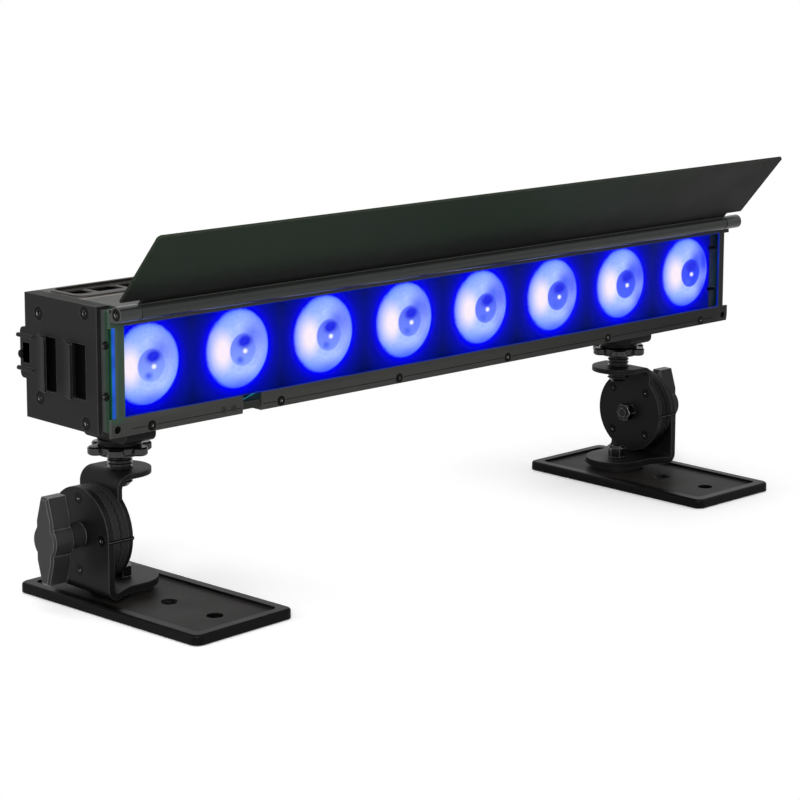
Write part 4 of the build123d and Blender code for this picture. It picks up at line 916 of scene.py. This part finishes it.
def drawRailFold():
    # Fine shadow line where the rail's lower edge is folded, cut at the screws and the catch
    look = railFold
    middles = [(i - (look["screws"] - 1) / 2) * look["screwPitch"] for i in range(look["screws"])]
    gaps = sorted([(x - look["gap"], x + look["gap"]) for x in middles] + [look["catch"]])
    starts = [look["ends"][0]] + [gap[1] for gap in gaps]
    stops = [gap[0] for gap in gaps] + [look["ends"][1]]
    for i, span in enumerate(zip(starts, stops)):
        name = f"rail_fold_line_{i + 1}"
        corners = box((span[0], look["z"][0]), (span[1], look["z"][1]))
        newPiece(name, prism(name, corners, "Y", *look["y"]), "painted_shade_black", "head")


earBacking = {"x": 245.5, "z": 104.1, "y": (1.0, 1.45), "radius": 2.15, "steps": 24}


def backEarHoles():
    # Painted shade: a black disc inside the small hole of each lower ear
    look = earBacking
    radius = look["radius"]
    turns = [i * 2 * math.pi / look["steps"] for i in range(look["steps"])]
    for side, sign in (("left", -1), ("right", 1)):
        name = f"ear_hole_backing_{side}"
        corners = [(sign * look["x"] + radius * math.cos(a), look["z"] + radius * math.sin(a)) for a in turns]
        newPiece(name, prism(name, corners, "Y", *look["y"]), "painted_shade_black", "head")


knuckleLine = {"inner": 235.75, "outer": 236.15, "radius": 4.34, "steps": 48}


def drawKnuckleLines():
    # Black ring of painted shade where each fixed knuckle meets the turning tube
    look = knuckleLine
    width = look["outer"] - look["inner"]
    profile = [(0, 0), (look["radius"], 0), (look["radius"], width), (0, width)]
    for side, x, axis in (("left", -look["outer"], "X"), ("right", look["outer"], "-X")):
        name = f"knuckle_line_{side}"
        mesh = turnedPiece(name, profile, axis, (x, *hinge), look["steps"])
        newPiece(name, mesh, "painted_shade_black", "head")


smallScrew = {
    "places": (-174.7, -167.6), "z": 104.1, "steps": 40,
    "profile": [(0, -0.3), (1.75, -0.3), (1.75, 0.25), (1.35, 0.62), (0.8, 0.75), (0.7, 0.3), (0, 0.3)],
}


def addSmallScrews():
    # Two little screws beside the catch
    look = smallScrew
    for i, x in enumerate(look["places"]):
        name = f"rail_small_screw_{i + 1}"
        mesh = turnedPiece(name, look["profile"], "-Y", (x, 0.0, look["z"]), look["steps"])
        newPiece(name, mesh, "catch_coat", "head")


ventRib = {"count": 12, "pitch": 39.6545, "width": 3.5, "y": (48.4, 65.1), "z": (166.4, 167.05),
           "rounding": 0.2}


def addVentRibs():
    # One rib across the middle of each vent slot
    look = ventRib
    for i in range(look["count"]):
        x = (i - (look["count"] - 1) / 2) * look["pitch"]
        name = f"vent_rib_{i + 1}"
        corners = box((x - look["width"] / 2, look["y"][0]), (x + look["width"] / 2, look["y"][1]))
        mesh = prism(name, corners, "Z", *look["z"], look["rounding"])
        newPiece(name, mesh, "cover_coat", "head")


# Each rib has its height over the line, its half thickness and its finish
indexMark = {
    "z": 39.25, "y": (16.35, 16.8), "foot": (240.3, 231.95), "head": (231.45, 223.6), "rightShift": -20.0,
    "ribs": {"light": (0.0, 0.2, "mark_grey"), "upper": (0.55, 0.3, "painted_shade_black"),
             "lower": (-0.55, 0.3, "painted_shade_black")},
}


def addIndexMarks(side, sign, footBody, shift):
    # Level line across both rosettes: a light rib between two dark ones, which are painted shade of its
    # groove
    look = indexMark
    for part, body in (("foot", footBody), ("head", "head")):
        ends = sorted(sign * (value + shift) for value in look[part])
        for rib, (offset, half, finish) in look["ribs"].items():
            name = f"index_{rib}_{part}_{side}"
            z = look["z"] + offset
            corners = box((ends[0], z - half), (ends[1], z + half))
            newPiece(name, prism(name, corners, "Y", *look["y"]), finish, body)


contacts = {
    "power_in": {"x": -150.0, "ring": 4.0, "radius": 1.2},
    "power_out": {"x": 150.0, "ring": 4.0, "radius": 1.2},
    "data_in": {"x": -108.0, "ring": 3.2, "radius": 0.8},
    "data_out": {"x": 108.0, "ring": 3.2, "radius": 0.8},
}
contactPin = {"count": 3, "first": 90, "y": 74.9, "z": 134.0, "length": 6.0, "shoulder": 0.6, "tip": 0.15,
              "steps": 24}


def addContacts(node, look):
    # Ring of pins inside a socket
    pin = contactPin
    r, far, ring = look["radius"], pin["length"], look["ring"]
    shoulder, tip = r * pin["shoulder"], r * pin["tip"]
    profile = [(0, 0), (r, 0), (r, far - shoulder), (shoulder, far - tip), (0, far)]
    for i in range(pin["count"]):
        turn = math.radians(pin["first"] + 360 / pin["count"] * i)
        place = (look["x"] + ring * math.cos(turn), pin["y"], pin["z"] + ring * math.sin(turn))
        name = f"{node}_contact_{i + 1}"
        mesh = turnedPiece(name, profile, "Y", place, pin["steps"])
        newPiece(name, mesh, "pin_brass", "head")


glyphs = {"half": 1.3, "base": 0.9, "z": 134.0, "y": (77.95, 78.12), "first": 11.0, "pitch": 12.0,
          "bar": 0.28, "barPlaces": (-1.0, 0.0, 1.0)}


def addGlyphs():
    # Plain signs on the four buttons: three bars, up, down and a square dot
    look = glyphs
    half, base, z, bar = look["half"], look["base"], look["z"], look["bar"]
    menu, up, down, enter = [look["first"] + look["pitch"] * i for i in range(4)]
    shapes = {
        "menu_button": [box((menu - half, z + place - bar), (menu + half, z + place + bar))
                        for place in look["barPlaces"]],
        "up_button": [[(up - half, z - base), (up + half, z - base), (up, z + half)]],
        "down_button": [[(down - half, z + base), (down, z - half), (down + half, z + base)]],
        "enter_button": [box((enter - base, z - base), (enter + base, z + base))],
    }
    for node, outlines in shapes.items():
        for i, corners in enumerate(outlines):
            name = f"{node}_glyph_{i + 1}"
            mesh = prism(name, corners, "Y", *look["y"])
            newPiece(name, mesh, "glyph_dark", bodyOfNode[node])


for side, sign in (("left", -1), ("right", 1)):
    backOpenings(side, sign)
    lightGlassEdge(side, sign)
addIndexMarks("left", -1, bodyOfNode["lower_bracket_left"], 0.0)
addIndexMarks("right", 1, bodyOfNode["lower_bracket_right"], indexMark["rightShift"])
lightWindowRim()
drawRailFold()
backEarHoles()
drawKnuckleLines()
shadeCatch()
addSmallScrews()
addVentRibs()
for node, look in contacts.items():
    addContacts(node, look)
addGlyphs()
print("small details made")


# Stage: floor, world, lamps and camera

floorLook = {"size": 12.0, "drop": 0.0005, "colour": (0.9, 0.9, 0.9, 1.0), "roughness": 0.9, "specular": 0.1,
             "lift": 0.22, "shadowReach": 0.07}
white = (1, 1, 1, 1)


def seenPlainly(tree, *others):
    # 1 for rays from the camera, those through glass and the other kinds that are named
    rays = addNode(tree, "ShaderNodeLightPath").outputs
    seen = calc(tree, "MAXIMUM", rays["Is Camera Ray"], rays["Is Transmission Ray"])
    for kind in others:
        seen = calc(tree, "MAXIMUM", seen, rays[kind])
    return seen


def farFromFeet(tree):
    # 0 at the two base plates and 1 where the floor has left their shadow
    axes = axesOf(tree, objectPlace(tree))
    shares = []
    for node in basePlates:
        low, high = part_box(node)
        gaps = []
        for axis in range(2):
            centre, half = (low[axis] + high[axis]) / 2, (high[axis] - low[axis]) / 2
            away = calc(tree, "ABSOLUTE", calc(tree, "SUBTRACT", axes[axis], centre))
            gaps.append(calc(tree, "MAXIMUM", calc(tree, "SUBTRACT", away, half), 0.0))
        gap = lengthOf(tree, *gaps)
        shares.append(remap(tree, gap, 0.0, floorLook["shadowReach"], 0.0, 1.0, "SMOOTHSTEP"))
    return calc(tree, "MINIMUM", *shares)


def makeFloor():
    # White paper that keeps the shadow of the feet
    look = floorLook
    bm = bmesh.new()
    bmesh.ops.create_grid(bm, x_segments=1, y_segments=1, size=look["size"] / 2)
    floor = addObject("studio_floor", meshFrom("studio_floor", bm, False))
    floor.location.z = -look["drop"]
    material, tree, shader = newMaterial("studio_paper")
    shader.inputs["Base Color"].default_value = look["colour"]
    shader.inputs["Roughness"].default_value = look["roughness"]
    shader.inputs["Specular IOR Level"].default_value = look["specular"]
    seen = seenPlainly(tree)
    strength = calc(tree, "MULTIPLY", seen, look["lift"])
    lift = addNode(tree, "ShaderNodeEmission", {"Color": white, "Strength": strength})
    near = addNode(tree, "ShaderNodeAddShader", {0: shader.outputs[0], 1: lift.outputs[0]})
    plain = addNode(tree, "ShaderNodeEmission", {"Color": white, "Strength": 1.0})
    far = calc(tree, "MULTIPLY", seen, farFromFeet(tree))
    both = addNode(tree, "ShaderNodeMixShader", {0: far, 1: near.outputs[0], 2: plain.outputs[0]})
    tree.links.new(both.outputs[0], tree.nodes["Material Output"].inputs["Surface"])
    floor.data.materials.append(material)


worldStrength = 0.6  # on the object; whatever sees the background sees it white


def makeWorld():
    world = bpy.data.worlds.new("studio")
    bpy.context.scene.world = world
    world.use_nodes = True
    tree = world.node_tree
    back = tree.nodes["Background"]
    back.inputs["Color"].default_value = white
    level = remap(tree, seenPlainly(tree, "Is Glossy Ray"), 0.0, 1.0, worldStrength, 1.0)
    tree.links.new(level, back.inputs["Strength"])


# Place and size in m, power in W
lamps = {
    "key": {"place": (-1.3, -1.2, 0.95), "size": 0.8, "power": 23.0},
    "side": {"place": (-2.4, 0.5, 0.9), "size": 1.2, "power": 9.0},
    "top": {"place": (0.0, -0.1, 2.2), "size": 1.6, "power": 11.0},
}


lampTarget = Vector((0, 0, 0.1))


def makeLamp(name, look):
    data = bpy.data.lights.new(name, "AREA")
    data.energy = look["power"]
    data.size = look["size"]
    lamp = addObject(name, data)
    lamp.location = look["place"]
    aim = lampTarget - lamp.location
    lamp.rotation_euler = aim.to_track_quat("-Z", "Y").to_euler()


# Solved from the photo's corners; angles in degrees, focal length and centre in picture points
cameraLook = {
    "azimuth": 43.727, "elevation": 9.527, "roll": 0.151,
    "place": (-1.007417, -1.033879, 0.395749),
    "focal": 2503.518, "centre": (407.262, 280.0), "picture": 800.0, "sensor": 36.0, "nearest": 0.05,
}


def makeCamera():
    look = cameraLook
    data = bpy.data.cameras.new("photo_camera")
    data.sensor_width = look["sensor"]
    data.lens = look["focal"] * look["sensor"] / look["picture"]
    data.shift_x = (look["picture"] / 2 - look["centre"][0]) / look["picture"]
    data.shift_y = (look["centre"][1] - look["picture"] / 2) / look["picture"]
    data.clip_start = look["nearest"]
    camera = addObject("photo_camera", data)
    turn = Matrix.Rotation(-math.radians(look["azimuth"]), 4, "Z")
    pitch = Matrix.Rotation(math.radians(90 - look["elevation"]), 4, "X")
    roll = Matrix.Rotation(math.radians(look["roll"]), 4, "Z")
    camera.matrix_world = Matrix.Translation(look["place"]) @ turn @ pitch @ roll
    bpy.context.scene.camera = camera


makeFloor()
makeWorld()
for name, look in lamps.items():
    makeLamp(name, look)
makeCamera()
bpy.context.scene.view_settings.view_transform = "Standard"
print("stage ready")
